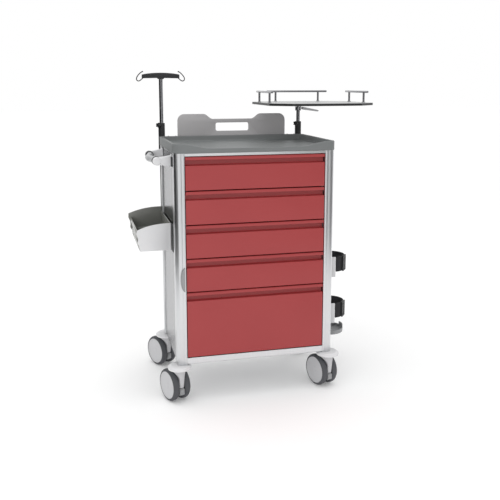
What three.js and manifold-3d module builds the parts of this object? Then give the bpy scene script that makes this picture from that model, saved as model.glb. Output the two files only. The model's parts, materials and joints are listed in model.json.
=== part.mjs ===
// A hospital crash cart: a five-drawer cabinet on four twin-wheel castors, with a worktop tray, a rear push
// plate, a side handle, a side bin, a gas-bottle holder, an infusion pole and a swivelling monitor shelf.
// Units are millimetres. X runs to the cart's right, Y to its back and Z up. The drawers open towards -Y.
import * as THREE from "three";
import { mergeVertices } from "three/addons/utils/BufferGeometryUtils.js";
import Module from "manifold-3d";

const wasm = await Module();
wasm.setup();

// ---------------------------------------------------------------- driving dimensions
const CLEAR = 0.3; // left between two pieces that touch

const cabinetWidth = 612; // over the columns
const cabinetDepth = 400;
const columnWidth = 37.5;
const columnDepth = 44;
const columnWall = 2.5;
const columnCorner = 15; // outer corner radius

const baseRailHeight = 28; // front face of the base pan
const topRailHeight = 11;
const drawerPitch = 126.6; // height of one single drawer, with its gap
const drawerUnits = [1, 1, 1, 1, 2]; // from the top, in pitches
const drawerGap = 4; // between one front and the next
const drawerSideGap = 3;
const frontThickness = 22;
const lipHeight = 13; // rolled top edge of a drawer front
const grooveHeight = 19; // finger groove under that edge
const grooveDepth = 14;
const frontWall = 3; // sheet and lining of a front
const boxWall = 2;
const boxRearGap = 26.2; // between a drawer box and the back panel
const boxDrop = 18; // top of a drawer box below the top of its front

const runnerHeight = 26;
const runnerThickness = 10;
const slideThickness = 6; // the slide on the side of a drawer box

const panelThickness = 4;
const panelRecess = 5; // outer face behind the columns' faces
const ribPitch = 12;
const ribDepth = 1.2;

const trayOverhangX = 4;
const trayOverhangY = 4;
const trayHeight = 34;
const trayCorner = 28;
const trayRim = 11;
const trayPocket = 22; // depth of the worktop below the rim
const trayFloor = 4;
const lipDip = 18; // how far the front rim dips in the middle
const lipRamp = 120; // length of each slope
const lipEndInset = 25; // from the tray's end to where the rim is full height

const plateInset = 75; // push plate's ends inside the cabinet's sides
const plateThickness = 5;
const plateGap = 4; // between the tray and the plate
const plateRise = 89.1; // above the tray's rim
const plateFoot = 63.6; // below the columns' tops
const plateCorner = 28;
const plateDip = 21;
const plateDipMargin = 11.5; // low stretch beyond the slot's ends
const plateDipRamp = 40;
const slotLength = 141;
const slotHeight = 34;
const slotDrop = 54; // slot's middle below the plate's top
const bossRadius = 8; // the plate's stand-offs
const bossInset = 46; // from the plate's ends

const wheelDiameter = 125;
const wheelWidth = 25;
const wheelTread = 9; // rounding of the tyre's edges
const tyreThickness = 9.5;
const wheelHeadroom = 1.7; // between the tyres and the swivel head
const headThickness = 7;
const castorTrail = 38; // wheel axle behind the swivel axis
const castorYaw = { front_left: 21, front_right: 17, rear_left: 27, rear_right: 22 }; // degrees, at rest
const castorInset = 10; // swivel axis inside the cabinet's sides
const hoodWidth = 20;
const axleRadius = 5;
const bumperRadius = 45;
const bumperHeight = 16;

const poleRadius = 8;
const poleWall = 1.5;
const poleInset = 11; // poles inside the cabinet's sides
const poleTail = 16; // poles below their guides
const sleeveBore = 0.4; // radial clearance round a pole
const sleeveWall = 5.1;
const sleeveGap = 4.5; // between the tray and a sleeve
const sleeveRise = 53.1; // above the tray's rim
const sleeveLength = 146;
const spineWidth = 24;
const spineThickness = 5;
const guideWall = 4.6;
const guideHeight = 24;
const guideDrop = 308.6; // guide's lower end below the columns' tops
const infusionPoleRise = 231.1; // above the tray's rim
const hookBarLength = 150;
const hookBarHeight = 26;
const hookBarDepth = 22;
const hookWire = 4;
const hookReach = 24;

const shelfRise = 125.1; // underside of the shelf board above the tray's rim
const shelfWidth = 445;
const shelfDepth = 425;
const shelfThickness = 10;
const shelfCut = 75; // corners cut off the board
const shelfBow = 10; // bulge of the front and back edges
const shelfOffsetX = 41; // board's middle right of its pole
const shelfOffsetY = -50; // board's middle in front of its pole
const flangeRadius = 35;
const flangeHeight = 9;
const hubHeight = 26;
const railRadius = 4.5;
const railRise = 44; // rail's middle above the board
const sideRailPosts = 160; // spacing of a rail's two posts
const backRailPosts = 200;
const railOverhang = 42; // rail beyond its posts
const railInset = 17;
const leverReach = 66;
const leverDrop = 11; // how far the lever's tip hangs below its pivot

const handleDrop = 33.6; // below the columns' tops
const handleFrontInset = 36; // middle of a bracket from the column next to it
const handleRearInset = 11;
const handleReach = 52; // tube's middle from the cabinet's side, at its ends
const handleBow = 16;
const handleRadius = 12.5;
const knuckleRadius = 15;
const knuckleLength = 22;

const binFrontInset = 112; // from the cabinet's front
const binBackInset = 5;
const binDrop = 377.6; // bin's floor below the columns' tops
const binWallHeight = 104; // at the cabinet's side
const binLipHeight = 80; // at the outer wall
const binReach = 128;
const binLean = 10; // how far the outer wall leans out
const binCheek = 4;
const binSkin = 3;
const binRearRise = 18; // the rear end stands above the front one
const binRearProud = 8; // and further out

const bottleRadius = 54; // room for a bottle
const bottleGap = 5; // between the cabinet's side and a saddle
const saddleWall = 5;
const saddleHeight = 84;
const saddleMouth = 87; // degrees, half of the saddle's open side
const lowerSaddleRise = 52; // above the cup's underside
const upperSaddleRise = 249;
const strapThickness = 5;
const strapHeight = 62;
const cupRise = 12; // above the columns' lower ends
const cupHeight = 18;
const cupWall = 4;

const lockHeight = 90;
const lockWidth = 16;
const lockThickness = 7;
const lockRise = 331; // lever's middle above the columns' lower ends

// ---------------------------------------------------------------- what follows from them
const halfWidth = cabinetWidth / 2;
const halfDepth = cabinetDepth / 2;
const bayHalf = halfWidth - columnWidth; // half the width of the drawer opening
const columnFoot = wheelDiameter + wheelHeadroom + headThickness + CLEAR + bumperHeight;
const bayBottom = columnFoot + baseRailHeight;
const bayHeight = drawerPitch * drawerUnits.reduce((sum, units) => sum + units, 0);
const bayTop = bayBottom + bayHeight;
const columnTop = bayTop + topRailHeight;
const panelOuter = halfWidth - panelRecess;
const panelInner = panelOuter - panelThickness;
const backFace = halfDepth - 4; // outer face of the back panel
const backThickness = 2.5;
const panelFoot = columnFoot + 4; // lower edge of the panels and the pan
const trayTop = columnTop + CLEAR + trayHeight;

// ---------------------------------------------------------------- helpers
const V2 = (x, y) => new THREE.Vector2(x, y);
const V3 = (x, y, z) => new THREE.Vector3(x, y, z);

// A closed geometry as a manifold-3d solid.
function solid(geometry) {
  const bare = geometry.clone();
  for (const name of Object.keys(bare.attributes)) if (name !== "position") bare.deleteAttribute(name);
  const merged = mergeVertices(bare, 1e-4);
  return new wasm.Manifold(
    new wasm.Mesh({
      numProp: 3,
      vertProperties: merged.attributes.position.array,
      triVerts: new Uint32Array(merged.index.array),
    }),
  );
}

// A manifold-3d solid back as a geometry.
function geometryOf(body) {
  const mesh = body.getMesh();
  const geometry = new THREE.BufferGeometry();
  geometry.setAttribute("position", new THREE.BufferAttribute(mesh.vertProperties, mesh.numProp));
  geometry.setIndex(new THREE.BufferAttribute(mesh.triVerts, 1));
  return geometry;
}

const join = (...parts) => parts.map(solid).reduce((a, b) => a.add(b));
const joined = (...parts) => geometryOf(join(...parts));
const cut = (base, ...tools) => geometryOf(tools.map(solid).reduce((a, b) => a.subtract(b), solid(base)));

// A box between two corners.
function block(low, high) {
  const size = high.map((value, i) => value - low[i]);
  const middle = high.map((value, i) => (value + low[i]) / 2);
  return new THREE.BoxGeometry(...size).translate(...middle);
}

function rod(radius, from, to, sides = 16) {
  const start = V3(...from);
  const end = V3(...to);
  const along = end.clone().sub(start);
  const turn = new THREE.Quaternion().setFromUnitVectors(V3(0, 1, 0), along.clone().normalize());
  return new THREE.CylinderGeometry(radius, radius, along.length(), sides)
    .applyQuaternion(turn)
    .translate(...start.add(end).divideScalar(2).toArray());
}

// A flat outline, with optional holes, from z = low to z = high.
function upright(shape, low, high, curveSegments = 5) {
  return new THREE.ExtrudeGeometry(shape, { depth: high - low, bevelEnabled: false, curveSegments })
    .translate(0, 0, low);
}

// An outline drawn in Y and Z, from x = low to x = high.
function alongX(shape, low, high, curveSegments = 5) {
  const axes = new THREE.Matrix4().makeBasis(V3(0, 1, 0), V3(0, 0, 1), V3(1, 0, 0));
  return upright(shape, low, high, curveSegments).applyMatrix4(axes);
}

// An outline drawn in X and Z, from y = low to y = high.
function alongY(shape, low, high, curveSegments = 5) {
  const axes = new THREE.Matrix4().makeBasis(V3(1, 0, 0), V3(0, 0, 1), V3(0, -1, 0));
  return upright(shape, -high, -low, curveSegments).applyMatrix4(axes);
}

// A profile of [radius, height] points turned round the Z axis.
function turned(profile, sides = 24) {
  const points = profile.map(([radius, height]) => V2(radius, height));
  return new THREE.LatheGeometry(points, sides).rotateX(Math.PI / 2);
}

// A section carried along a curve.
function along(path, section, curveSegments) {
  return new THREE.ExtrudeGeometry(section, {
    steps: 16, curveSegments, extrudePath: path, bevelEnabled: false,
  });
}

function roundedRectangle(halfX, halfY, radius) {
  const shape = new THREE.Shape();
  shape.absarc(halfX - radius, halfY - radius, radius, 0, Math.PI / 2);
  shape.absarc(radius - halfX, halfY - radius, radius, Math.PI / 2, Math.PI);
  shape.absarc(radius - halfX, radius - halfY, radius, Math.PI, Math.PI * 1.5);
  shape.absarc(halfX - radius, radius - halfY, radius, Math.PI * 1.5, Math.PI * 2);
  shape.closePath();
  return shape;
}

const polygon = (...points) => new THREE.Shape(points.map(([x, y]) => V2(x, y)));

// A smooth step from 0 to 1 as t goes from 0 to 1.
const smooth = (t) => (1 - Math.cos(Math.PI * THREE.MathUtils.clamp(t, 0, 1))) / 2;

const cart = new THREE.Group();

function finish(color, roughness, metalness) {
  return new THREE.MeshStandardMaterial({ color, roughness, metalness });
}

const anodised = finish("#c9cacd", 0.35, 0.9);
const enamelRed = finish("#a84543", 0.4, 0);
const enamelGrey = finish("#9c9b9c", 0.5, 0);
const steelSheet = finish("#b5b5b8", 0.45, 0.8);
const trayPlastic = finish("#7f8282", 0.5, 0);
const whitePlastic = finish("#e6e6e6", 0.45, 0);
const greyPlastic = finish("#a9aaab", 0.5, 0);
const blackPlastic = finish("#1f2022", 0.5, 0);
const smokedPlastic = finish("#55565a", 0.2, 0);
const chrome = finish("#c8c8ca", 0.15, 1);
const tyreRubber = finish("#4b4c4f", 0.7, 0);
const laminate = finish("#dcdddd", 0.4, 0);

function add(name, geometry, material, group = cart) {
  const mesh = new THREE.Mesh(geometry, material);
  mesh.name = name;
  group.add(mesh);
  return mesh;
}

// ---------------------------------------------------------------- cabinet
// A hollow extrusion whose outward corner is rounded. sideX and sideY are -1 or 1.
function columnOutline(sideX, sideY, inset) {
  const outerX = halfWidth - inset;
  const outerY = halfDepth - inset;
  const innerX = halfWidth - columnWidth + inset;
  const innerY = halfDepth - columnDepth + inset;
  const radius = columnCorner - inset;
  const steps = 6;
  const points = [V2(innerX, innerY), V2(outerX, innerY)];
  for (let i = 0; i <= steps; i++) {
    const angle = (Math.PI / 2) * (i / steps);
    points.push(V2(outerX - radius + radius * Math.cos(angle), outerY - radius + radius * Math.sin(angle)));
  }
  points.push(V2(innerX, outerY));
  const placed = points.map((p) => V2(p.x * sideX, p.y * sideY));
  return sideX * sideY < 0 ? placed.reverse() : placed; // counterclockwise in every corner
}

const corners = [
  ["front_left", -1, -1],
  ["front_right", 1, -1],
  ["rear_left", -1, 1],
  ["rear_right", 1, 1],
];

for (const [corner, sideX, sideY] of corners) {
  const shape = new THREE.Shape(columnOutline(sideX, sideY, 0));
  shape.holes.push(new THREE.Path(columnOutline(sideX, sideY, columnWall)));
  add(`column_${corner}`, upright(shape, columnFoot + CLEAR, columnTop), anodised);
}

// Ribbed sheets between the front and the rear column of each side.
function sidePanel(side) {
  const end = halfDepth - columnDepth - CLEAR;
  const count = Math.floor((2 * end - ribPitch) / ribPitch);
  const start = (-count * ribPitch) / 2;
  const points = [V2(panelInner, end), V2(panelInner, -end), V2(panelOuter, -end)];
  for (let i = 0; i < count; i++) {
    const y = start + (i + 0.5) * ribPitch;
    points.push(V2(panelOuter, y - ribPitch * 0.3), V2(panelOuter - ribDepth, y - ribPitch * 0.15));
    points.push(V2(panelOuter - ribDepth, y + ribPitch * 0.15), V2(panelOuter, y + ribPitch * 0.3));
  }
  points.push(V2(panelOuter, end));
  return upright(new THREE.Shape(points.map((p) => V2(p.x * side, p.y))), panelFoot, columnTop);
}

add("side_panel_left", sidePanel(-1), anodised);
add("side_panel_right", sidePanel(1), anodised);

// The stand-offs of the push plate go through the back panel.
const bayEdge = bayHalf - CLEAR;
const plateHalf = halfWidth - plateInset;
const plateBottom = columnTop - plateFoot;
const standOffs = [];
for (const x of [bossInset - plateHalf, plateHalf - bossInset])
  for (const z of [plateBottom + 14, plateBottom + 44]) standOffs.push([x, z]);

const standOff = (radius, from, to) => standOffs.map(([x, z]) => rod(radius, [x, from, z], [x, to, z], 12));

function backPanel() {
  const inner = backFace - backThickness;
  const sheet = block([-bayEdge, inner, panelFoot], [bayEdge, backFace, columnTop]);
  return cut(sheet, ...standOff(bossRadius + CLEAR, inner - 1, backFace + 1));
}

add("back_panel", backPanel(), enamelGrey);

// The folded pan under the drawers, notched for the columns. Its front wall is the bottom rail.
function basePan() {
  const front = -halfDepth + 0.5;
  const back = backFace - backThickness - CLEAR;
  const outline = (inset) => {
    const wide = panelInner - CLEAR - inset;
    const narrow = bayEdge - inset;
    const deep = halfDepth - columnDepth - CLEAR - inset;
    return polygon(
      [-narrow, front + inset], [narrow, front + inset], [narrow, -deep], [wide, -deep],
      [wide, deep], [narrow, deep], [narrow, back - inset], [-narrow, back - inset],
      [-narrow, deep], [-wide, deep], [-wide, -deep], [-narrow, -deep],
    );
  };
  const wall = 2.5;
  return cut(
    upright(outline(0), panelFoot, bayBottom - 1),
    upright(outline(wall), panelFoot + wall, bayBottom),
  );
}

add("base_pan", basePan(), steelSheet);

// The drawers, numbered from the top: each has its height, its lower edge and its own travel.
const drawers = [];
let edge = bayTop;
for (const [index, units] of drawerUnits.entries()) {
  edge -= units * drawerPitch;
  drawers.push({ number: index + 1, bottom: edge, height: units * drawerPitch });
}

const boxFront = -halfDepth + frontThickness + CLEAR;
const boxBack = backFace - backThickness - boxRearGap;
const runnerOuter = bayEdge - 1;
const runnerInner = runnerOuter - runnerThickness;
const slideOuter = runnerInner - 1;
const boxHalf = slideOuter - slideThickness;
const runnerRise = 34; // middle of a runner above its drawer's lower edge

// The welded cage inside the columns: a ring under the worktop, four posts and the drawer runners.
function innerFrame() {
  const ringBottom = bayTop + 1;
  const ringTop = columnTop - CLEAR;
  const back = backFace - backThickness - CLEAR;
  const postDepth = 16;
  const postFront = boxFront + 4;
  const parts = [
    block([-bayEdge, -halfDepth + 1, ringBottom], [bayEdge, postFront + postDepth, ringTop]),
    block([-bayEdge, back - postDepth, ringBottom], [bayEdge, back, ringTop]),
  ];
  for (const side of [-1, 1]) {
    const xs = [side * runnerInner, side * runnerOuter].sort((a, b) => a - b);
    for (const y of [postFront, back - postDepth])
      parts.push(block([xs[0], y, bayBottom + CLEAR], [xs[1], y + postDepth, ringBottom + 1]));
    for (const drawer of drawers) {
      const middle = drawer.bottom + runnerRise;
      const low = middle - runnerHeight / 2;
      parts.push(block([xs[0], postFront, low], [xs[1], back, low + runnerHeight]));
    }
  }
  return joined(...parts);
}

add("inner_frame", innerFrame(), steelSheet);

// A drawer front is one folded profile, so that the finger groove runs its whole width. Its back is open
// below the groove, between the end caps.
function drawerFront({ bottom, height }) {
  const face = -halfDepth;
  const low = bottom + drawerGap / 2;
  const high = bottom + height - drawerGap / 2;
  const grooveTop = high - lipHeight;
  const grooveBottom = grooveTop - grooveHeight;
  const profile = polygon(
    [face + frontThickness, low], [face + frontThickness, high], [face + 2, high], [face, high - 2],
    [face, grooveTop + 2], [face + 2, grooveTop], [face + grooveDepth, grooveTop + 3],
    [face + grooveDepth, grooveBottom + 5], [face + 2, grooveBottom], [face, grooveBottom - 2],
    [face, low + 2], [face + 2, low],
  );
  const half = bayHalf - drawerSideGap;
  const hollow = block(
    [frontWall - half, face + frontWall, low + frontWall],
    [half - frontWall, face + frontThickness + 1, grooveBottom - frontWall],
  );
  return cut(alongX(profile, -half, half), hollow);
}

// An open-topped box with a slide on each side.
function drawerBox({ bottom, height }) {
  const low = bottom + 6;
  const high = bottom + height - drawerGap / 2 - boxDrop;
  const outer = block([-boxHalf, boxFront, low], [boxHalf, boxBack, high]);
  const inner = block(
    [boxWall - boxHalf, boxFront + boxWall, low + boxWall],
    [boxHalf - boxWall, boxBack - boxWall, high + 1],
  );
  const middle = bottom + runnerRise;
  const slide = (from, to) => block([from, boxFront + 8, middle - 8], [to, boxBack - 8, middle + 8]);
  const shell = solid(outer).subtract(solid(inner));
  const slides = solid(slide(-slideOuter, -boxHalf + 0.5)).add(solid(slide(boxHalf - 0.5, slideOuter)));
  return geometryOf(shell.add(slides));
}

for (const drawer of drawers) {
  add(`drawer_front_${drawer.number}`, drawerFront(drawer), enamelRed);
  add(`drawer_box_${drawer.number}`, drawerBox(drawer), steelSheet);
}

// ---------------------------------------------------------------- worktop and push plate
function worktopTray() {
  const halfX = halfWidth + trayOverhangX;
  const halfY = halfDepth + trayOverhangY;
  const low = columnTop + CLEAR;
  const floorTop = trayTop - trayPocket;
  const pocketRadius = trayCorner - trayRim;
  const skirt = 20;
  const dip = new THREE.Shape();
  const steps = 10;
  const rampEnd = halfX - lipEndInset;
  dip.moveTo(-rampEnd, trayTop + 5);
  for (let i = 0; i <= steps; i++)
    dip.lineTo(-rampEnd + (lipRamp * i) / steps, trayTop - lipDip * smooth(i / steps));
  for (let i = steps; i >= 0; i--)
    dip.lineTo(rampEnd - (lipRamp * i) / steps, trayTop - lipDip * smooth(i / steps));
  dip.lineTo(rampEnd, trayTop + 5);
  return cut(
    upright(roundedRectangle(halfX, halfY, trayCorner), low, trayTop),
    upright(roundedRectangle(halfX - trayRim, halfY - trayRim, pocketRadius), floorTop, trayTop + 1),
    upright(roundedRectangle(halfX - skirt, halfY - skirt, 8), low - 1, floorTop - trayFloor),
    alongY(dip, -halfY - 1, -halfY + trayRim + 6),
  );
}

add("worktop_tray", worktopTray(), trayPlastic);

const plateFront = halfDepth + trayOverhangY + plateGap;

function pushPlate() {
  const halfX = plateHalf;
  const plateTop = trayTop + plateRise;
  const steps = 8;
  const dipEnd = slotLength / 2 + plateDipMargin + plateDipRamp;
  const shape = new THREE.Shape();
  shape.moveTo(-halfX, plateBottom);
  shape.lineTo(halfX, plateBottom);
  shape.absarc(halfX - plateCorner, plateTop - plateCorner, plateCorner, 0, Math.PI / 2);
  for (let i = 0; i <= steps; i++)
    shape.lineTo(dipEnd - (plateDipRamp * i) / steps, plateTop - plateDip * smooth(i / steps));
  for (let i = steps; i >= 0; i--)
    shape.lineTo((plateDipRamp * i) / steps - dipEnd, plateTop - plateDip * smooth(i / steps));
  shape.absarc(plateCorner - halfX, plateTop - plateCorner, plateCorner, Math.PI / 2, Math.PI);
  shape.closePath();
  const slot = roundedRectangle(slotLength / 2, slotHeight / 2, 8);
  const moved = slot.getPoints(6).map((p) => V2(p.x, p.y + plateTop - slotDrop));
  shape.holes.push(new THREE.Path(moved));
  const plate = alongY(shape, plateFront, plateFront + plateThickness);
  return joined(plate, ...standOff(bossRadius, backFace - backThickness, plateFront + 1));
}

add("push_plate", pushPlate(), enamelGrey);

// ---------------------------------------------------------------- castors
const axleHeight = wheelDiameter / 2;
const bumperTop = columnFoot;
const bumperBottom = bumperTop - bumperHeight;
const hoodTop = bumperBottom - CLEAR;
const notchRadius = 29; // of the hood's notch, round the axle

// A soft disc under the column, with a stem that goes up into it.
function bumper() {
  const r = bumperRadius;
  return turned([
    [0, bumperBottom], [r - 4, bumperBottom], [r, bumperBottom + 6], [r - 1, bumperTop - 4],
    [r - 7, bumperTop], [5, bumperTop], [5, bumperTop + 40], [0, bumperTop + 40],
  ]);
}

// Points on an arc round the axle. The angle is 0 towards the front and grows downwards.
function roundAxle(radius, fromDegrees, toDegrees, steps) {
  return Array.from({ length: steps + 1 }, (_, i) => {
    const angle = THREE.MathUtils.degToRad(fromDegrees + ((toDegrees - fromDegrees) * i) / steps);
    return [castorTrail - radius * Math.cos(angle), axleHeight - radius * Math.sin(angle)];
  });
}

// The swivel head and the hood between the wheels, with a notch for the pedal and a bore for the axle.
function castorHood() {
  const y = castorTrail;
  const z = axleHeight;
  const neck = hoodTop - headThickness + 1;
  const under = hoodTop - headThickness;
  const hood = polygon(
    [-25, neck], [-23, neck - 24], [-20, z + 12], [-18, z], ...roundAxle(notchRadius, 0, 50, 5),
    [y - 12, z - 30], [y + 12, z - 30], [y + 26, z - 20], [y + 32, z - 2], [y + 30, z + 22],
    [y + 12, z + 44], [24, neck],
  );
  const head = turned([[0, under], [24, under], [28, under + 4], [28, hoodTop], [0, hoodTop]]);
  const body = join(alongX(hood, -hoodWidth / 2, hoodWidth / 2), head);
  const bore = rod(axleRadius + 0.05, [-hoodWidth, y, z], [hoodWidth, y, z], 24);
  return geometryOf(body.subtract(solid(bore)));
}

// Both wheels and the axle that joins them, turned round the axle.
function wheelPair() {
  const r = wheelDiameter / 2;
  const inner = hoodWidth / 2 + 1;
  const outer = inner + wheelWidth;
  const hub = r - tyreThickness;
  const half = [
    [axleRadius, inner], [r - wheelTread, inner], [r - 2.5, inner + 3], [r, inner + wheelTread],
    [r, outer - wheelTread], [r - 2.5, outer - 3], [hub, outer], [0, outer - 1],
  ];
  const mirror = half.map(([radius, x]) => [radius, -x]).reverse();
  const sides = 24;
  return turned([...mirror, ...half], sides)
    .rotateZ(Math.PI / sides) // a flat facet underneath
    .rotateY(Math.PI / 2)
    .translate(0, castorTrail, axleHeight);
}

// The pedal swings about the axle, in the hood's notch.
function brakePedal() {
  const z = axleHeight;
  const profile = polygon(
    [-20, z - 8], [-13, z - 3], [3, z - 2], ...roundAxle(notchRadius + 2 * CLEAR, 4, 36, 5),
    [2, z - 22], [-13, z - 24], [-20, z - 17],
  );
  return alongX(profile, -hoodWidth / 2, hoodWidth / 2);
}

const castorX = halfWidth - castorInset;
const castorY = halfDepth - castorInset - 5;

for (const [corner, sideX, sideY] of corners) {
  const fixed = new THREE.Group();
  fixed.position.set(sideX * castorX, sideY * castorY, 0);
  cart.add(fixed);
  add(`bumper_${corner}`, bumper(), whitePlastic, fixed);
  const swivel = new THREE.Group();
  swivel.rotation.z = THREE.MathUtils.degToRad(castorYaw[corner]);
  fixed.add(swivel);
  add(`castor_hood_${corner}`, castorHood(), whitePlastic, swivel);
  add(`wheel_pair_${corner}`, wheelPair(), tyreRubber, swivel);
  add(`brake_pedal_${corner}`, brakePedal(), greyPlastic, swivel);
}

// ---------------------------------------------------------------- poles behind the rear columns
const sleeveRadius = poleRadius + sleeveBore + sleeveWall;
const sleeveTop = trayTop + sleeveRise;
const guideBottom = columnTop - guideDrop;
const poleBack = trayOverhangY + sleeveGap + sleeveRadius; // poles behind the cabinet's back
const poleX = halfWidth - poleInset;
const poleY = halfDepth + poleBack;

// A sleeve that grips the pole, a spine screwed to the column and a ring that guides the pole's lower end.
function poleClamp() {
  const bore = poleRadius + sleeveBore;
  const sleeveBottom = sleeveTop - sleeveLength;
  const guideTop = guideBottom + guideHeight;
  const spineTop = columnTop - 4;
  const spineFront = CLEAR - poleBack; // the pole's middle is at y = 0 here
  const spineBack = spineFront + spineThickness;
  const web = 6; // half the width of the webs between the spine and the rings
  const body = join(
    rod(sleeveRadius, [0, 0, sleeveBottom], [0, 0, sleeveTop], 24),
    block([-spineWidth / 2, spineFront, guideBottom], [spineWidth / 2, spineBack, spineTop]),
    block([-web, spineBack - 1, sleeveBottom + 4], [web, -sleeveRadius + 4, spineTop]),
    rod(bore + guideWall, [0, 0, guideBottom], [0, 0, guideTop], 24),
    block([-web, spineBack - 1, guideBottom], [web, -poleRadius - 1, guideTop]),
  );
  return geometryOf(body.subtract(solid(rod(bore, [0, 0, guideBottom - 1], [0, 0, sleeveTop + 1], 24))));
}

// A lobed knob whose screw goes into the sleeve, towards the front and left.
const knobRadius = 9;
const knobThickness = 10;
const knobStem = 3;
const knobZ = sleeveTop - 8;
const knobTurn = Math.PI / 4;
function clampKnob() {
  const points = [];
  const steps = 30;
  for (let i = 0; i < steps; i++) {
    const angle = (i / steps) * Math.PI * 2;
    const radius = knobRadius + 1.6 * Math.cos(angle * 5);
    points.push(V2(radius * Math.cos(angle), knobZ + radius * Math.sin(angle)));
  }
  const face = -sleeveRadius - CLEAR;
  return joined(
    alongX(new THREE.Shape(points), face - knobStem - knobThickness, face - knobStem),
    rod(5, [face - knobStem - 1, 0, knobZ], [face, 0, knobZ], 12),
  ).rotateZ(knobTurn);
}

// A tube from a little below its guide up to a height.
function poleTube(high) {
  const ring = new THREE.Shape().absarc(0, 0, poleRadius, 0, Math.PI * 2);
  ring.holes.push(new THREE.Path().absarc(0, 0, poleRadius - poleWall, 0, Math.PI * 2));
  return upright(ring, guideBottom - poleTail, high, 9);
}

const infusionPoleTop = trayTop + infusionPoleRise;

// The bar at the top of the infusion pole, with a wire hook at each end.
function hookBar() {
  const low = infusionPoleTop + CLEAR;
  const high = low + hookBarHeight;
  const half = hookBarLength / 2;
  const bar = new THREE.Shape();
  bar.moveTo(-half, low + 2);
  bar.lineTo(-14, low + 4);
  bar.lineTo(-11, low);
  bar.lineTo(11, low);
  bar.lineTo(14, low + 4);
  bar.lineTo(half, low + 2);
  bar.lineTo(half + 1, high - 8);
  bar.quadraticCurveTo(0, high + 6, -half - 1, high - 8);
  const parts = [alongY(bar, -hookBarDepth / 2, hookBarDepth / 2, 10)];
  const end = half - 6;
  for (const side of [-1, 1]) {
    const route = [
      [end, low + 8], [end + 6, low], [end + 17, low - 8], [end + hookReach + 3, low - 4],
      [end + hookReach + 4, low + 8], [end + 18, low + 20], [end + 8, low + 30],
    ].map(([x, z]) => V3(side * x, 0, z));
    const section = new THREE.Shape().absarc(0, 0, hookWire / 2, 0, Math.PI * 2);
    const path = new THREE.CatmullRomCurve3(route);
    parts.push(along(path, section, 4));
  }
  return joined(...parts);
}

function infusionStand() {
  const group = new THREE.Group();
  group.position.set(-poleX, poleY, 0);
  cart.add(group);
  add("infusion_clamp", poleClamp(), blackPlastic, group);
  add("infusion_clamp_knob", clampKnob(), blackPlastic, group);
  add("infusion_pole", poleTube(infusionPoleTop), chrome, group);
  add("infusion_hook_bar", hookBar(), blackPlastic, group);
}

infusionStand();

// The board's outline round its own middle: cut corners, with the front and back edges slightly bowed.
function shelfOutline() {
  const x = shelfWidth / 2;
  const y = shelfDepth / 2;
  const c = shelfCut;
  const shape = new THREE.Shape();
  shape.moveTo(x, c - y);
  shape.lineTo(x, y - c);
  shape.lineTo(x - c, y - shelfBow);
  shape.quadraticCurveTo(0, y + shelfBow, c - x, y - shelfBow);
  shape.lineTo(-x, y - c);
  shape.lineTo(-x, c - y);
  shape.lineTo(c - x, shelfBow - y);
  shape.quadraticCurveTo(0, -shelfBow - y, x - c, shelfBow - y);
  shape.closePath();
  return shape;
}

const shelfBottom = trayTop + shelfRise;
const shelfTop = shelfBottom + shelfThickness;

// Where the posts of the left, right and back rail stand, from the board's middle, with the rail's turn.
const railSpots = {
  left: { x: railInset - shelfWidth / 2, y: 0, turn: Math.PI / 2, spacing: sideRailPosts },
  right: { x: shelfWidth / 2 - railInset, y: 0, turn: Math.PI / 2, spacing: sideRailPosts },
  back: { x: 0, y: shelfDepth / 2 - railInset, turn: 0, spacing: backRailPosts },
};

// The posts go through the board.
function shelfBoard() {
  const holes = [];
  for (const { x, y, turn, spacing } of Object.values(railSpots))
    for (const side of [-0.5, 0.5]) {
      const [px, py] = V3(side * spacing, 0, 0).applyAxisAngle(V3(0, 0, 1), turn).add(V3(x, y, 0));
      holes.push(rod(railRadius + CLEAR, [px, py, shelfBottom - 1], [px, py, shelfTop + 1], 14));
    }
  return cut(upright(shelfOutline(), shelfBottom, shelfTop, 10), ...holes);
}

// A rail on two posts, along X.
function shelfRail(postSpacing) {
  const foot = shelfBottom + CLEAR;
  const bar = shelfTop + railRise;
  const half = postSpacing / 2;
  const end = half + railOverhang;
  return joined(
    rod(railRadius, [-end, 0, bar], [end, 0, bar], 14),
    rod(railRadius, [-half, 0, foot], [-half, 0, bar], 14),
    rod(railRadius, [half, 0, foot], [half, 0, bar], 14),
  );
}

// The clamp lever beside the flange's boss. It hangs a little, and swings down to free the board.
const hubRadius = poleRadius + 5; // of the flange's boss
const leverPivotX = hubRadius + 9;
const leverPivotZ = shelfBottom - flangeHeight - 8;
function shelfLever() {
  const shape = new THREE.Shape();
  shape.absarc(leverPivotX, leverPivotZ, 6, Math.PI / 2, Math.PI * 1.5);
  shape.absarc(leverPivotX + leverReach, leverPivotZ - leverDrop, 3.5, Math.PI * 1.5, Math.PI * 2.5);
  shape.closePath();
  return alongY(shape, -8, 8);
}

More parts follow.
